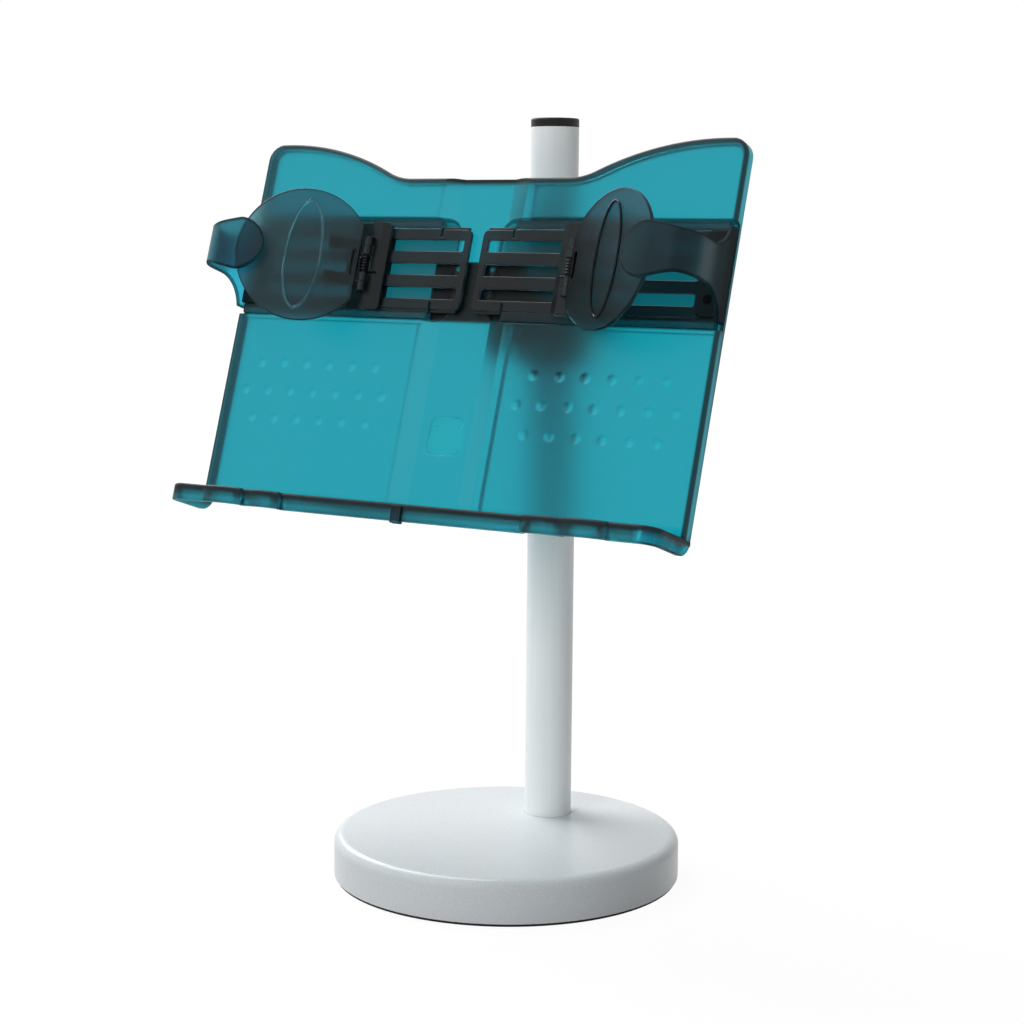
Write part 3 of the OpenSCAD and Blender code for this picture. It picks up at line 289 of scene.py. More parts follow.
class Wire:
    """One output of a node. Arithmetic on wires adds Math nodes to their graph."""

    def __init__(self, graph, socket):
        self.graph, self.socket = graph, socket

    def math(self, operation, *values):
        """One Math node over wires and numbers."""
        return self.graph.node("ShaderNodeMath", {"operation": operation}, dict(enumerate(values)))

    def __add__(self, other):
        return self.math("ADD", self, other)

    __radd__ = __add__

    def __sub__(self, other):
        return self.math("SUBTRACT", self, other)

    def __rsub__(self, other):
        return self.math("SUBTRACT", other, self)

    def __mul__(self, other):
        return self.math("MULTIPLY", self, other)

    __rmul__ = __mul__

    def __abs__(self):
        return self.math("ABSOLUTE", self)

    def clamp(self, low=0.0, high=1.0):
        """The value, held between low and high."""
        return self.math("MAXIMUM", self.math("MINIMUM", self, high), low)


class Graph:
    """A node tree that is written in expressions."""

    def __init__(self, tree):
        self.tree = tree
        tree.nodes.clear()

    def node(self, kind, settings=None, sockets=None, out=0):
        """Adds a node: its settings first, then the values or wires of its sockets. Returns one output."""
        made = self.tree.nodes.new(kind)
        for key, value in (settings or {}).items():
            setattr(made, key, value)
        for key, value in (sockets or {}).items():
            if isinstance(value, Wire):
                self.tree.links.new(value.socket, made.inputs[key])
            else:
                made.inputs[key].default_value = value
        return Wire(self, made.outputs[out]) if len(made.outputs) else None

    def seen(self):
        """1 for rays from the camera, from gloss and through clear plastic, 0 for the light on the object."""
        rays = [self.node("ShaderNodeLightPath", out=kind)
                for kind in ("Is Camera Ray", "Is Glossy Ray", "Is Transmission Ray")]
        return (rays[0] + rays[1] + rays[2]).clamp()


class Finish(Graph):
    """A surface finish: one shader, with a constant or a wire for each of its sockets."""

    def __init__(self, name):
        self.material = bpy.data.materials.new(name)
        self.material.use_nodes = True
        super().__init__(self.material.node_tree)

    def surface(self, **sockets):
        """The surface shader with its constants and wires, joined to the output."""
        named = {key.replace("_", " "): value for key, value in sockets.items()}
        shader = self.node("ShaderNodeBsdfPrincipled", None, named)
        self.node("ShaderNodeOutputMaterial", None, {"Surface": shader})
        return self.material

    def noise(self, scale, detail=2.0, stretch=None):
        """Cloudy noise from 0 to 1, scale in cells per metre, on the piece's own coordinates."""
        place = self.node("ShaderNodeTexCoord", out="Object")
        if stretch:
            place = self.node("ShaderNodeMapping", None, {"Vector": place, "Scale": stretch})
        return self.node("ShaderNodeTexNoise", None, {"Vector": place, "Scale": scale, "Detail": detail})

    def blend(self, factor, first, second):
        """A colour between two colours, or past the first where the factor is below 0."""
        return self.node("ShaderNodeMix", {"data_type": "RGBA", "clamp_factor": False},
                         {0: factor, 6: first, 7: second}, out=2)

    def bump(self, height, strength, distance):
        """A normal that leans with a height from 0 to 1, which stands for a distance in metres."""
        return self.node("ShaderNodeBump", None,
                         {"Height": height, "Strength": strength, "Distance": distance})

    def depth(self):
        """The painted tone, named for how much plastic lies behind a point: 0 in a sheet, 1 at painted shade,
        below 0 where painted lighter.
        """
        return self.node("ShaderNodeAttribute", {"attribute_name": "depth"}, out="Fac")


def board_teal():
    """Frosted tinted plastic: light takes its tint in passing, edges get painted shade, end walls a painted
    glow.
    """
    f = Finish("board_teal")
    depth = f.depth()
    sheet = f.blend(f.noise(1400), colour(14, 152, 169), colour(22, 158, 175))
    # Painted glow where the tone falls below -0.5, as on the shelf's end walls; the base colour darkens to
    # painted shade with the tone.
    painted_glow = f.blend((-0.5 - depth).clamp(), colour(0, 0, 0), colour(0, 220, 255))
    return f.surface(Base_Color=f.blend(depth, sheet, colour(4, 18, 22)),
                     Roughness=0.33 + 0.05 * f.noise(80) + 0.2 * abs(depth),
                     Transmission_Weight=1.0, IOR=1.3, Emission_Color=painted_glow, Emission_Strength=0.10)


def badge_teal():
    """The blank badge: the same plastic, a little milkier."""
    f = Finish("badge_teal")
    return f.surface(Base_Color=f.blend(f.noise(1400), colour(204, 236, 232), colour(214, 244, 240)),
                     Roughness=0.26 + 0.05 * f.noise(300), Transmission_Weight=1.0, IOR=1.2)


def dark_smoke():
    """Dark smoky plastic of the slides and carriages, with faint flow marks and a satin face."""
    f = Finish("dark_smoke")
    return f.surface(Base_Color=f.blend(f.noise(60), colour(40, 56, 62), colour(52, 70, 76)),
                     Roughness=0.28 + 0.08 * f.noise(150), Transmission_Weight=0.92, IOR=1.34)


def hook_smoke():
    """Tinted plastic of the hooks: the tint of the board, dulled, with painted shade along its edges."""
    f = Finish("hook_smoke")
    depth = f.depth()
    face = f.blend(f.noise(50), colour(34, 112, 128), colour(46, 126, 140))
    return f.surface(Base_Color=f.blend(depth * 0.8, face, colour(12, 24, 28)),
                     Roughness=0.36 + 0.06 * f.noise(150) + 0.4 * abs(depth),
                     Transmission_Weight=1.0, IOR=1.26, Specular_IOR_Level=0.3)


def disc_smoke(name, dull, bright, ior):
    """Thin smoky plastic of the page discs and rails, clear enough to show what lies behind, with painted
    shade at its edges.
    """
    f = Finish(name)
    face = f.blend(f.noise(45), colour(*dull), colour(*bright))
    return f.surface(Base_Color=f.blend(f.depth(), face, colour(22, 38, 44)),
                     Roughness=0.38 + 0.06 * f.noise(120), Transmission_Weight=1.0, IOR=ior,
                     Specular_IOR_Level=0.35)


def bead_smoke(name, dull, bright, rough, ior):
    """The same plastic, polished, for the bead round a disc's oval; its colour is painted lighter on one disc
    and darker on the other, as highlight and shade.
    """
    f = Finish(name)
    return f.surface(Base_Color=f.blend(f.noise(300), colour(*dull), colour(*bright)),
                     Roughness=rough + 0.06 * f.noise(400), Transmission_Weight=1.0, IOR=ior)


def base_silver():
    """Silver paint with a fine grain over the weighted base."""
    f = Finish("base_silver")
    grain = f.noise(1500)
    flake = f.node("ShaderNodeTexVoronoi", {"feature": "F1"},
                   {"Vector": f.node("ShaderNodeTexCoord", out="Object"), "Scale": 1700.0})
    sparkle = (grain * 0.6 + flake * 0.5).clamp()
    return f.surface(Base_Color=f.blend(sparkle, colour(190, 196, 199), colour(222, 226, 228)),
                     Roughness=0.24 + 0.12 * grain, Specular_IOR_Level=0.5,
                     Normal=f.bump(grain, 0.20, 0.0003))


def pole_satin():
    """Satin anodised tube: a fine lengthwise grain and a soft sheen."""
    f = Finish("pole_satin")
    grain = f.noise(1.0, stretch=(900.0, 900.0, 14.0))
    return f.surface(Base_Color=f.blend(grain, colour(234, 238, 239), colour(246, 249, 250)), Metallic=0.08,
                     Roughness=0.36 + 0.08 * grain, Specular_IOR_Level=0.2,
                     Normal=f.bump(grain, 0.05, 0.0001))


def black_moulding():
    """Black satin plastic with a fine moulded grain."""
    f = Finish("black_moulding")
    grain = f.noise(1800)
    return f.surface(Base_Color=f.blend(f.noise(40), colour(12, 13, 14), colour(20, 21, 23)),
                     Roughness=0.42 + 0.16 * grain, Specular_IOR_Level=0.25,
                     Normal=f.bump(grain, 0.10, 0.0002))


def metal(name, dull, bright, low, spread):
    """A plated or turned metal with a light cloudy tone."""
    f = Finish(name)
    cloud = f.noise(420, 3)
    return f.surface(Base_Color=f.blend(cloud, colour(*dull), colour(*bright)), Metallic=1.0,
                     Roughness=low + spread * cloud)


def foot_rubber():
    """Matt black rubber."""
    f = Finish("foot_rubber")
    grain = f.noise(900)
    return f.surface(Base_Color=f.blend(grain, colour(16, 16, 17), colour(30, 30, 31)),
                     Roughness=0.7 + 0.15 * grain, Specular_IOR_Level=0.3)


def cast_iron():
    """Bare cast iron."""
    f = Finish("cast_iron")
    grain = f.noise(700, 4)
    return f.surface(Base_Color=f.blend(grain, colour(60, 60, 62), colour(88, 88, 90)), Metallic=0.7,
                     Roughness=0.55 + 0.2 * grain, Normal=f.bump(grain, 0.3, 0.0004))


TEAL, BADGE, SMOKE, HOOK = board_teal(), badge_teal(), dark_smoke(), hook_smoke()
# One plastic for both discs: the right disc's copy is painted darker, as shade.
DISC = {"left": disc_smoke("left_disc_smoke", (86, 148, 158), (96, 158, 166), 1.3),
        "right": disc_smoke("right_disc_smoke", (80, 140, 150), (88, 148, 158), 1.18)}
# The left bead is painted light, as a highlight, and the right bead painted dark, as shade.
BEAD = {"left": bead_smoke("left_bead_smoke", (170, 220, 228), (196, 236, 242), 0.06, 1.45),
        "right": bead_smoke("right_bead_smoke", (10, 18, 22), (18, 30, 36), 0.22, 1.25)}
SLOT_FINISH = {"base_paint": base_silver(), "pole_alloy": pole_satin(), "weight_iron": cast_iron(),
               "steel": metal("zinc_steel", (168, 171, 176), (198, 200, 202), 0.26, 0.16),
               "dark_steel": metal("blackened_steel", (26, 27, 29), (38, 39, 42), 0.34, 0.16),
               "brass": metal("turned_brass", (196, 156, 84), (216, 178, 104), 0.24, 0.14),
               "foot_rubber": foot_rubber(), "black_plastic": black_moulding(),
               "board_tint": TEAL, "badge_tint": BADGE, "smoke_tint": SMOKE}
NODE_FINISH = {"left_rails": DISC["left"], "right_rails": DISC["left"]}
for part in frame["record"]["subparts"]:
    mesh = frame["nodes"][part["node"]].data
    mesh.materials.clear()
    mesh.materials.append(NODE_FINISH.get(part["node"]) or SLOT_FINISH[part["material_slot"]])


# Board

def top_edge(u):
    """Height of the board's top edge: a flat, a hollow arc, a crown arc, then a round corner."""
    u = np.abs(u)
    hollow = TOP_V + HOLLOW_R - np.sqrt(np.maximum(HOLLOW_R ** 2 - (u - TOP_FLAT) ** 2, 0))
    crown = TOP_V + EAR_RISE - CROWN_R + np.sqrt(np.maximum(CROWN_R ** 2 - (u - EAR_U) ** 2, 0))
    corner = TOP_V + EAR_RISE - CORNER_R
    corner = corner + np.sqrt(np.maximum(CORNER_R ** 2 - np.maximum(u - HALF_W + CORNER_R, 0) ** 2, 0))
    meet = TOP_FLAT + (EAR_U - TOP_FLAT) * HOLLOW_R / (HOLLOW_R + CROWN_R)
    v = np.where(u < TOP_FLAT, TOP_V, np.where(u < meet, hollow, crown))
    return np.where(u > EAR_U, corner, v)


def inside_board(u, v):
    """Distance inside the board's outline: to its sides, and to the line or arc of the top above it."""
    u = np.abs(u)
    ear_v = TOP_V + EAR_RISE
    hollow = np.hypot(u - TOP_FLAT, v - TOP_V - HOLLOW_R) - HOLLOW_R
    crown = CROWN_R - np.hypot(u - EAR_U, v - ear_v + CROWN_R)
    qx, qy = u - HALF_W + CORNER_R, v - ear_v + CORNER_R
    corner = CORNER_R - np.hypot(np.maximum(qx, 0), np.maximum(qy, 0)) - np.minimum(np.maximum(qx, qy), 0)
    meet = TOP_FLAT + (EAR_U - TOP_FLAT) * HOLLOW_R / (HOLLOW_R + CROWN_R)
    top = np.where(u < TOP_FLAT, TOP_V - v, np.where(u < meet, hollow, crown))
    return np.maximum(np.where(u > EAR_U, corner, np.minimum(top, HALF_W - u)), 0)


def inside_box(u, v, low, high, r):
    """Distance inside a rounded rectangle, negative outside."""
    qx = np.abs(u - (low[0] + high[0]) / 2) - (high[0] - low[0]) / 2 + r
    qy = np.abs(v - (low[1] + high[1]) / 2) - (high[1] - low[1]) / 2 + r
    return r - np.hypot(np.maximum(qx, 0), np.maximum(qy, 0)) - np.minimum(np.maximum(qx, qy), 0)


def to_line(u, v, edge):
    """Least distance from each point to an open polyline, over all its segments at once."""
    p = np.stack([u.ravel(), v.ravel()], -1)[:, None]
    a, d = edge[:-1][None], (edge[1:] - edge[:-1])[None]
    t = np.clip(((p - a) * d).sum(-1) / np.maximum((d * d).sum(-1), 1e-12), 0, 1)
    return np.sqrt((((a + t[..., None] * d) - p) ** 2).sum(-1)).min(1).reshape(u.shape)


def round_off(distance, r):
    """Drop of a rounded edge at a distance from the outline: a quarter circle of radius r."""
    x = np.clip(r - distance, 0, r)
    return r - np.sqrt(r * r - x * x)


def step(x, start, end):
    """A smooth step from 0 at start to 1 at end."""
    t = np.clip((x - start) / (end - start), 0, 1)
    return t * t * (3 - 2 * t)


def lines(*spans):
    """Grid lines: each span is (from, to, count), joined and sorted without doubles."""
    found = np.unique(np.round(np.concatenate([np.linspace(a, b, n) for a, b, n in spans]), 4))
    return found[np.concatenate([[True], np.diff(found) > 0.02])]


def columns(spans, corner_count):
    """Grid lines across the board: spans and a round corner on the right half, mirrored to the left."""
    corner = HALF_W - CORNER_R * (1 - np.sin(np.radians(np.linspace(0, 90, corner_count))))
    half = np.unique(np.round(np.concatenate([lines(*spans), corner]), 4))
    return np.concatenate([-half[:0:-1], half])


def page_dimples(u, v):
    """Depth of the dimples: a spherical cap at the nearest place of each row."""
    u, depth = np.abs(u), np.zeros(u.shape)
    sphere = (DIMPLE_R ** 2 + DIMPLE_H ** 2) / (2 * DIMPLE_H)
    for row_v, first_u, count in DIMPLE_ROWS:
        nearest = first_u + DIMPLE_PITCH * np.clip(np.round((u - first_u) / DIMPLE_PITCH), 0, count - 1)
        r2 = (u - nearest) ** 2 + (v - row_v) ** 2
        depth = np.maximum(depth, np.sqrt(np.maximum(sphere ** 2 - r2, 0)) - sphere + DIMPLE_H)
    return depth


# Spans of grid lines (from, to, count) on the board, close where its surface bends
BOARD_U = ((0, 9, 3), (9.2, 10, 4),  # badge and its seat
           (12.4, 20, 22), (13.8, 15, 4),  # inner end of the track, floor of the spine
           (20, 26, 5), (23.7, 25.3, 5),  # edge of the spine
           (26.6, 27.4, 4), (30, 36, 3),  # edge of the spine's block
           (36.4, EAR_U, 102))  # dimples, hollow and crown
BOARD_V = ((SHELF_V - 1, -50, 5), (-46.2, -45.2, 4), (-41, -40, 2),  # foot, lower edge of the seat
           (-36.9, -29.9, 15), (-26.8, -25.8, 4),  # dimples, upper edge of the seat
           (-22.4, -15.4, 15), (-7.9, -0.9, 15), (2, 18, 4),  # dimples
           (19.4, 20.4, 4), (20.9, 22.3, 8), (22.6, 28.4, 15),  # lower edges of the block and the track
           (30, 65, 6), (66.6, 72.4, 15), (72.7, 74.1, 8),  # upper edge of the track
           (74.6, 75.6, 4), (77, 82, 3))  # upper edge of the block
BELOW_TOP = np.array([9, 6.5, 4.6, 3.4, 2.9, 2.65, 2.4, 2.1, 1.7, 1.3, 0.95, 0.65, 0.4, 0.2, 0.07, 0.0])


def board_grid():
    """Places (u, v) over the board: level rows up to its middle, then rows that follow its top edge."""
    u, rows = columns(BOARD_U, 26), lines(*BOARD_V)
    top = top_edge(u)[:, None]
    between = rows[-1] + (top - BELOW_TOP[0] - rows[-1]) * np.linspace(0.25, 0.75, 3)
    v = np.concatenate([np.broadcast_to(rows, (len(u), len(rows))), between, top - BELOW_TOP], 1)
    return np.broadcast_to(u[:, None], v.shape), v


def board_shade_and_light(u, v, near, track, seat):
    """Painted shade and light of the board's front and back.

    The rim and the wall of the track get painted shade, the track's floor a fainter painted shade, the
    badge's seat is lighter, and one side of each dimple gets a painted highlight."""
    # Painted shade along the rim, on a strip at the left side and round the back's rim.
    rim = np.maximum(1 - step(near, 1.4, 2.6), 0.6 * (1 - step(HALF_W + u, 0, 11)))
    top_or_left = np.where(u < 0, 1, step(HALF_W - u - near, 0, 6))
    rim_back = 0.3 * (1 - step(near, 2.8, 3.4)) * (1 - top_or_left) + (1 - step(near, 0.5, 4.5)) * top_or_left
    # Painted shade on the track's floor, and darker along its wall.
    track_floor = 0.62 * step(track, -0.1, 0.6)
    track_wall = 0.95 * (1 - step(np.abs(track + 0.4), 0.6, 1.1))
    thin = 0.3 * step(seat, 0, 0.4)
    # Painted highlight on one side of each dimple.
    lit = 0.5 * (page_dimples(u - 0.5, v + 0.4) / DIMPLE_H) ** 1.5
    front = np.maximum(np.maximum(rim, track_floor), track_wall) - thin - lit
    return front, np.maximum(rim_back, track_floor) - thin


def board_sheet(shell):
    """The board's front and back as heights over (u, v).

    The front falls into the spine recess, the page tracks, the badge's seat and the dimples, and rounds off
    at the outline. The back steps down to the rim along the outline and to the spine and track blocks."""
    u, v = board_grid()
    au, near = np.abs(u), inside_board(u, v)
    edge_r, back_edge_r, past_side, slope = 1.6, 0.6, 20.0, 0.3
    spine = SPINE_DEPTH * np.clip((SPINE_W / 2 - au) / (SPINE_W - SPINE_FLOOR_W) * 2, 0, 1)
    track = inside_box(au, v, (TRACK_IN, TRACK_V - TRACK_HALF),
                       (HALF_W + past_side, TRACK_V + TRACK_HALF), TRACK_R)
    seat = inside_box(u, v, (-SEAT_HALF, BADGE_V - SEAT_HALF), (SEAT_HALF, BADGE_V + SEAT_HALF), SEAT_R)
    fall = np.maximum(np.maximum(round_off(near, edge_r), spine + BADGE_T * step(seat, -0.1, 0.15)),
                      TRACK_DEPTH * step(track, -0.9, 0.1))
    rim = 1 - step(near, RIM_T, RIM_T + 0.4)
    block = np.maximum(1 - step(au, BLOCK_HALF - slope, BLOCK_HALF + slope),
                       step(TRACK_HALF + BLOCK_MARGIN + slope - np.abs(v - TRACK_V), 0, 2 * slope))
    back = SHEET_T + np.maximum((RIM_DEPTH - SHEET_T) * rim, (BACK_DEPTH - SHEET_T) * block)
    front_shade_and_light, back_shade_and_light = board_shade_and_light(u, v, near, track, seat)
    # Painted shade on the board's outer wall, darkest near its front edge.
    wall = [(0.10, 0.75), (0.25, 0.22), (0.55, 0.12), (0.92, 0.2)]
    slab(shell, np.stack([u, v, -page_dimples(u, v) - fall], -1),
         np.stack([u, v, round_off(near, back_edge_r) - back], -1), front_shade_and_light, back_shade_and_light, wall)


def shelf_front(u):
    """Depth of the shelf's edge: a straight middle, three scallops to each side and a round corner."""
    au = np.abs(u)
    depth = np.full(au.shape, SHELF_D)
    for a, b, jump in zip(SCALLOP_ENDS[:-1], SCALLOP_ENDS[1:], SCALLOP_STEPS):
        s = (2 * au - a - b) / (b - a)
        depth = np.where(au >= a, SHELF_D + jump + SCALLOP_RISE * (1 - s * s), depth)
    x = np.clip(au - HALF_W + CORNER_R, 0, CORNER_R)
    corner = SHELF_D + SCALLOP_STEPS[-1] - CORNER_R + np.sqrt(CORNER_R ** 2 - x * x)
    return np.where(au > SCALLOP_ENDS[-2], np.minimum(depth, corner), depth)


# Heights on the shelf's outer wall, from 0 at its foot to 1 at its top, and the painted shade of its front
# and its right end at each; below -0.5 the end gets a painted glow
APRON_LEVELS = [0, 0.06, 0.12, 0.27, 0.47, 0.7, 0.84]
APRON_FRONT = [1.0, 0.8, 0.15, 0.25, 0.95, 1.0, 1.0]
APRON_END = [1.0, 0.4, -1.5, -1.5, -1.3, 0.9, 1.0]


def apron_shade_and_glow(ring):
    """Painted shade of the shelf's outer wall: dark at its foot, under its top edge and where two scallops
    meet.

    The right end, from its round corner on, gets a painted glow."""
    u, height = np.abs(ring[:, 0]), (ring[:, 1] - APRON_V) / (SHELF_V - APRON_V)
    corner = HALF_W - CORNER_R
    away = np.min([np.abs(u - e) for e in SCALLOP_ENDS[:-1]], 0)
    joint = 0.3 * (1 - step(away, 0.3, 1.2)) * (ring[:, 2] > 20)
    front = np.interp(height, APRON_LEVELS, APRON_FRONT)
    front = front + 0.5 * (1 - front) * step(ring[:, 0], SCALLOP_ENDS[-2], SCALLOP_ENDS[-2] + 1)
    end = np.interp(height, APRON_LEVELS, APRON_END)
    return front + joint * (1 - front) + (end - front) * step(ring[:, 0], corner - 1, corner + 2)


# Spans of grid lines across the shelf, close where two scallops meet, and places inside its edge
SHELF_U = ((0, 69.4, 10), (69.7, 70.3, 6), (71, 91, 9), (91.7, 92.3, 6), (93, 115, 9), (115.7, 116.3, 6),
           (117, 131, 7))
INSIDE_EDGE = np.array([9, 6, 4, 3.2, 2.8, 2.4, 2.1, 1.8, 1.5, 1.2, 0.9, 0.6, 0.35, 0.15, 0.05, 0.0])


def shelf_tray(shell):
    """The shelf's top and underside as heights over (u, n): its edge turns down into the apron."""
    rear_end, behind, edge_r, under_edge_r = 14.0, -40.0, 1.4, 0.6
    u = columns(SHELF_U, 24)
    reach = shelf_front(u)[:, None]
    stop = np.minimum(reach - INSIDE_EDGE[0], rear_end)
    rear = np.minimum(np.append(np.linspace(-RIM_DEPTH, 2, 14), 5.0)[None], stop)
    middle = stop + (reach - INSIDE_EDGE[0] - stop) * np.linspace(0, 1, 4)[None, :-1]
    n = np.concatenate([rear, middle, reach - INSIDE_EDGE], 1)
    uu = np.broadcast_to(u[:, None], n.shape)
    fine = np.unique(np.concatenate([u, np.linspace(-SCALLOP_ENDS[-2], SCALLOP_ENDS[-2], 240)]))
    front = np.stack([fine, shelf_front(fine)], -1)
    near = to_line(uu, n, np.concatenate([[[-HALF_W, behind]], front, [[HALF_W, behind]]]))
    apron = 1 - step(near, APRON_T, APRON_T + 0.4)
    under = SHELF_V - SHEET_T + (APRON_V - SHELF_V + SHEET_T) * apron
    x = np.clip(CORNER_R - (n + RIM_DEPTH), 0, CORNER_R)
    heel = APRON_V + CORNER_R - np.sqrt(CORNER_R ** 2 - x * x)
    under = np.maximum(under + round_off(near, under_edge_r) * apron, np.minimum(heel, SHELF_V - SHEET_T))
    # Painted shade along the shelf's lip, stronger on its top than under it, and on the apron's rings.
    lip = 1 - step(near, 2.0, 3.4)
    slab(shell, np.stack([uu, under, n], -1), np.stack([uu, SHELF_V - round_off(near, edge_r), n], -1),
         0.45 * lip, lip, [(level, apron_shade_and_glow) for level in APRON_LEVELS[1:] + [0.93]])


def reading_board():
    """The board's sheet, its shelf and the small stop in the middle of the shelf's edge, in one piece."""
    shell = Shell()
    board_sheet(shell)
    shelf_tray(shell)
    tab = box_loop((-TAB_HALF, APRON_V - TAB_STEP), (TAB_HALF, SHELF_V - TAB_STEP), radii=0.8)
    # Painted shade on the stop, darker along its rounded edge.
    plate(shell, [tab], SHELF_D - APRON_T, SHELF_D + TAB_STEP, edge=0.4, depth=0.35, painted_edge_shade=0.7)
    return shell.piece("reading_board", on_board, "board", "board_tint", TEAL, ("board_panel",))


def badge():
    """The blank badge: a rounded square plate in its seat."""
    w = BADGE_W / 2
    outline = box_loop((-w, BADGE_V - w), (w, BADGE_V + w), BADGE_R, count=9)
    shell = plate(Shell(), [outline], -SPINE_DEPTH - BADGE_T + CLEAR, -SPINE_DEPTH + CLEAR, edge=0.3)
    return shell.piece("badge", on_board, "board", "badge_tint", BADGE, ("badge_inlay",))


# Page holders

def slotted_slide():
    """A slotted plate, notched beside its latch fingers, with thin flanges along both long sides."""
    end = SLIDE_HALF
    corners = [(SLIDE_OUT, -end), (SLIDE_OUT, end),
               (NOTCH_OUT, end), (NOTCH_OUT, NOTCH_V), (NOTCH_IN, NOTCH_V), (NOTCH_IN, end),
               (SLIDE_IN, end), (SLIDE_IN, -end),
               (NOTCH_IN, -end), (NOTCH_IN, -NOTCH_V), (NOTCH_OUT, -NOTCH_V), (NOTCH_OUT, -end)]
    outer_radii, notch_radii, inner_radii = [1, 1], [0.4, 0.3, 0.3, 0.4], [3, 3]
    outline = rounded(corners, outer_radii + notch_radii + inner_radii + notch_radii)
    slots = [box_loop((SLOT_IN, v - SLOT_HALF), (SLOT_OUT, v + SLOT_HALF), radii=1.0)[::-1]
             for v in (-SLOT_PITCH, 0.0, SLOT_PITCH)]
    shell = plate(Shell(), [outline] + slots, SLIDE_BACK, SLIDE_FRONT, edge=0.4)
    for low in (-FLANGE_HALF, end + CLEAR):
        for a, b in ((FLANGE_IN, NOTCH_IN - 0.1), (NOTCH_OUT, SLIDE_OUT)):
            flange = box_loop((a, low), (b, low + FLANGE_W), radii=0.5, count=4)
            plate(shell, [flange], SLIDE_BACK, SLIDE_BACK + FLANGE_T, edge=0.25, steps=3)
    return shell


def page_hook(root_shade_and_light):
    """The hook: a strap that rises, bends over the board's edge and ends in a round paddle, and its foot.

    Its path is a line, an arc of radius BEND_R and an arc of radius SWEEP_R. Its half width narrows from the
    root along a circle, then widens to the paddle, whose end is half a circle."""
    rise = np.concatenate([np.linspace(SLIDE_BACK, ROOT_N, 4),
                           ROOT_N + ROOT_R * (1 - np.cos(np.radians(np.linspace(4, 90, 30)))),
                           np.linspace(ROOT_N + ROOT_R + 1, BEND_N, 5)])
    bend = np.radians(np.linspace(4, 90, 22))
    mid, wide, paddle_u = BEND_R - HOOK_T / 2, SWEEP_R - HOOK_T / 2, TIP_U + PADDLE_R
    tip_u = np.concatenate([np.linspace(BEND_U - 1, paddle_u, 10)[:-1],
                            paddle_u - PADDLE_R * np.sin(np.radians(np.linspace(0, 87, 22)))])
    tip = np.arcsin((BEND_U - tip_u) / wide)
    straight = len(rise)
    path_u = np.concatenate([np.full(straight, HOOK_U - HOOK_T / 2), BEND_U + mid * np.cos(bend), tip_u])
    path_n = np.concatenate([rise, BEND_N + mid * np.sin(bend),
                             BEND_N + BEND_R - SWEEP_R + wide * np.cos(tip)])
    out_u = np.concatenate([np.ones(straight), np.cos(bend), -np.sin(tip)])
    out_n = np.concatenate([np.zeros(straight), np.sin(bend), np.cos(tip)])
    x = np.clip(ROOT_R - (path_n - ROOT_N), 0, ROOT_R)
    root = np.minimum(ROOT_HALF, NECK_HALF + ROOT_R - np.sqrt(ROOT_R ** 2 - x * x))
    widen = np.clip((BEND_U + BEND_R / 2 - path_u) / (BEND_U + BEND_R / 2 - paddle_u), 0, 1)
    paddle = np.sqrt(PADDLE_R ** 2 - np.maximum(paddle_u - path_u, 0) ** 2)
    half_w = np.minimum(NECK_HALF + (PADDLE_R - NECK_HALF) * widen, paddle)
    half_w[:straight] = root[:straight]
    zero = np.zeros(len(path_u))
    along, side, out = (np.stack(axes, -1) for axes in
                        ([path_u, zero, path_n], [zero, zero + 1, zero], [out_u, zero, out_n]))
    # Painted shade on the strap's rounded edges, and the painted tone given for its root.
    shell = strap(Shell(), along, side, out, half_w, HOOK_T / 2, edge=0.8, margin=0.8,
                  depth=root_shade_and_light * (1 - step(path_n, 10, 22)))
    # Painted shade on the foot, darkest at its rounded edge.
    foot = box_loop((FOOT_IN, -SLIDE_HALF), (SLIDE_OUT, SLIDE_HALF), radii=[0.8, 0.8, 2.5, 2.5])
    return plate(shell, [foot], SLIDE_FRONT + CLEAR, ROOT_N, edge=0.35, depth=0.6, painted_edge_shade=1.0)


def page_disc():
    """The page disc: a round plate with a straight hinge edge and a slot beside it."""
    reach = math.degrees(math.acos((DISC_X - DISC_EDGE) / DISC_R))
    rim = arc((DISC_X, 0), DISC_R, -180 + reach, 180 - reach, 120)
    slot = box_loop((DISC_SLOT_IN, -DISC_SLOT_HALF), (DISC_SLOT_OUT, DISC_SLOT_HALF), radii=0.6, count=4)
    # Painted shade along the disc's rounded edge.
    return plate(Shell(), [rim, slot[::-1]], 0.0, DISC_T, edge=0.5, painted_edge_shade=1.0)


def disc_oval():
    """The raised oval on a disc: a round bead carried along an ellipse."""
    bead_r, lift = 0.7, 0.1
    around = np.radians(np.linspace(0, 360, 120, endpoint=False))
    oval = np.stack([DISC_X + OVAL_HALF_W * np.cos(around), OVAL_HALF_H * np.sin(around)], -1)
    turn = np.radians(np.linspace(0, 360, 10, endpoint=False))
    across = inward(oval)[:, None] * (bead_r * np.cos(turn))[None, :, None]
    level = np.broadcast_to(DISC_T + lift + bead_r * np.sin(turn), across.shape[:2])
    points = np.concatenate([oval[:, None] + across, level[..., None]], -1)
    return Shell().add(points, grid_faces(len(around), len(turn), wrap=True, close=True)[:, [0, 3, 2, 1]])


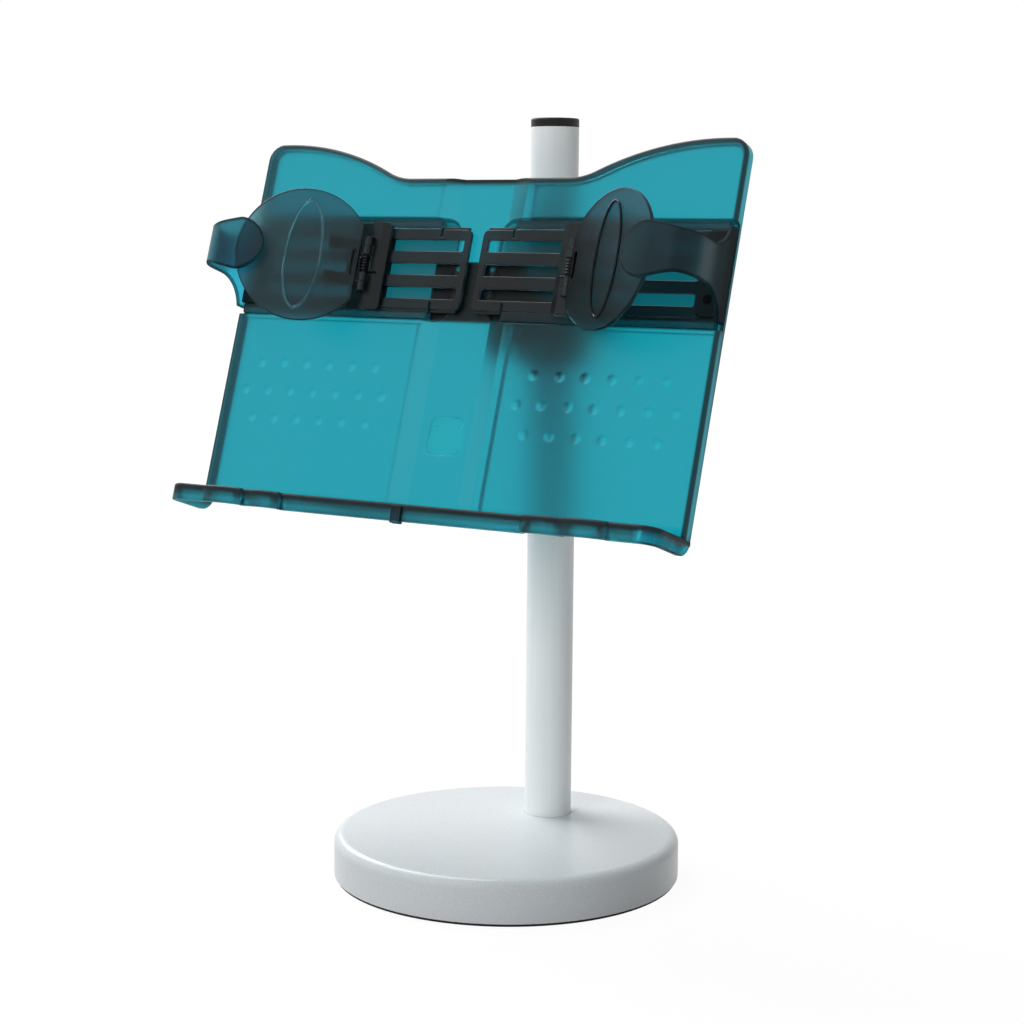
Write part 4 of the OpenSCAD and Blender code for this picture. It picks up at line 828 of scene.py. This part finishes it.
def page_holders():
    """A slide, a hook and a disc on each half of the board."""
    # The right hook's root gets painted shade and the left hook's root painted light.
    for side, mirror, root_shade_and_light in (("right", False, 0.8), ("left", True, -1.6)):
        slotted_slide().piece(side + "_slotted_slide", on_track, side + "_arm", "smoke_tint", SMOKE,
                              (side + "_slide",), mirror)
        page_hook(root_shade_and_light).piece(side + "_page_hook", on_track, side + "_arm", "smoke_tint", HOOK,
                                    (side + "_hook",), mirror)
        page_disc().piece(side + "_page_disc", on_hinge, side + "_flap", "smoke_tint", DISC[side],
                          (side + "_disc",), mirror)
        disc_oval().piece(side + "_disc_oval", on_hinge, side + "_flap", "smoke_tint", BEAD[side], (), mirror)


# Stage, light and camera

WHITE, GREY = (1.0, 1.0, 1.0, 1.0), (0.5, 0.5, 0.5, 1.0)


def floor():
    """A pale floor that shows white and keeps a faint shadow."""
    size, drop = 6.0, -0.0004
    mesh = bpy.data.meshes.new("floor")
    mesh.from_pydata([(-size, -size, drop), (size, -size, drop), (size, size, drop), (-size, size, drop)],
                     [], [(0, 1, 2, 3)])
    pale = Finish("pale_floor")
    matt = pale.node("ShaderNodeBsdfDiffuse", None, {"Color": GREY})
    glow = pale.node("ShaderNodeEmission", None, {"Color": WHITE, "Strength": 1.06})
    place = pale.node("ShaderNodeTexCoord", out="Object")
    reach = pale.node("ShaderNodeVectorMath", {"operation": "LENGTH"}, {0: place}, out="Value")
    far = pale.node("ShaderNodeMapRange", {"interpolation_type": "SMOOTHSTEP"},
                    {"Value": reach, "From Min": 0.35, "From Max": 1.2, "To Min": 0.9, "To Max": 1.0})
    mixed = pale.node("ShaderNodeMixShader", None, {0: pale.seen() * far, 1: matt, 2: glow})
    pale.node("ShaderNodeOutputMaterial", None, {"Surface": mixed})
    mesh.materials.append(pale.material)
    stage = bpy.data.objects.new("floor", mesh)
    bpy.context.scene.collection.objects.link(stage)


def studio():
    """A white surround for what is seen directly, mirrored or through plastic, a soft sky and four lamps.

    The key and sheen lamps act on all rays. The front lamp only lights, the edge lamp is only mirrored."""
    world = bpy.data.worlds.new("white_studio")
    bpy.context.scene.world = world
    world.use_nodes = True
    sky = Graph(world.node_tree)
    soft = sky.node("ShaderNodeBackground", None, {"Color": WHITE, "Strength": 0.29})
    white = sky.node("ShaderNodeBackground", None, {"Color": WHITE, "Strength": 1.0})
    sky.node("ShaderNodeOutputWorld", None,
             {"Surface": sky.node("ShaderNodeMixShader", None, {0: sky.seen(), 1: soft, 2: white})})
    right, away, up = Vector((0.849, 0.528, 0.0)), Vector((-0.528, 0.849, 0.0)), Vector((0.0, 0.0, 1.0))
    middle = Vector((0.0, 0.0, 0.15))
    for name, place, width, power, lights, mirrored, through in (
            ("key", middle - right * 0.65 + away * 0.6 + up * 1.6, 1.1, 31.0, True, True, True),
            ("front", middle - right * 1.0 - away * 1.2 + up * 0.5, 0.8, 9.0, True, False, False),
            ("sheen", Vector((-0.06, -1.7, 1.17)), 0.3, 2.2, True, True, True),
            ("edge", middle - right * 0.95 + away * 1.6 + up * 1.05, 0.7, 14.0, False, True, False)):
        lamp = bpy.data.lights.new(name, "AREA")
        lamp.shape, lamp.size, lamp.energy = "DISK", width, power
        holder = bpy.data.objects.new(name, lamp)
        holder.visible_diffuse, holder.visible_glossy, holder.visible_transmission = lights, mirrored, through
        turn = (middle - place).to_track_quat("-Z", "Y").to_matrix().to_4x4()
        holder.matrix_world = Matrix.Translation(place) @ turn
        bpy.context.scene.collection.objects.link(holder)


def camera():
    """A camera with place, turn and lens fitted to the base, pole and board."""
    az, pitch, roll = math.radians(31.909), math.radians(7.623), math.radians(0.489)
    place = Vector((0.571695, -0.915239, 0.335312))
    focal, picture, sensor = 2117.93, 1024, 36.0  # the first two in pixels, the sensor in millimetres
    ahead = Vector((-math.sin(az) * math.cos(pitch), math.cos(az) * math.cos(pitch), -math.sin(pitch)))
    right = Vector((math.cos(az), math.sin(az), 0.0))
    up = right.cross(ahead)
    x = right * math.cos(roll) + up * math.sin(roll)
    y = up * math.cos(roll) - right * math.sin(roll)
    lens = bpy.data.cameras.new("camera")
    lens.sensor_width, lens.sensor_fit = sensor, "HORIZONTAL"
    lens.lens = focal / picture * sensor
    holder = bpy.data.objects.new("camera", lens)
    holder.matrix_world = Matrix.Translation(place) @ Matrix((x, y, -ahead)).transposed().to_4x4()
    bpy.context.scene.collection.objects.link(holder)
    bpy.context.scene.camera = holder


camera()
floor()
studio()
reading_board()
badge()
page_holders()
bpy.context.scene.view_settings.view_transform = "Standard"
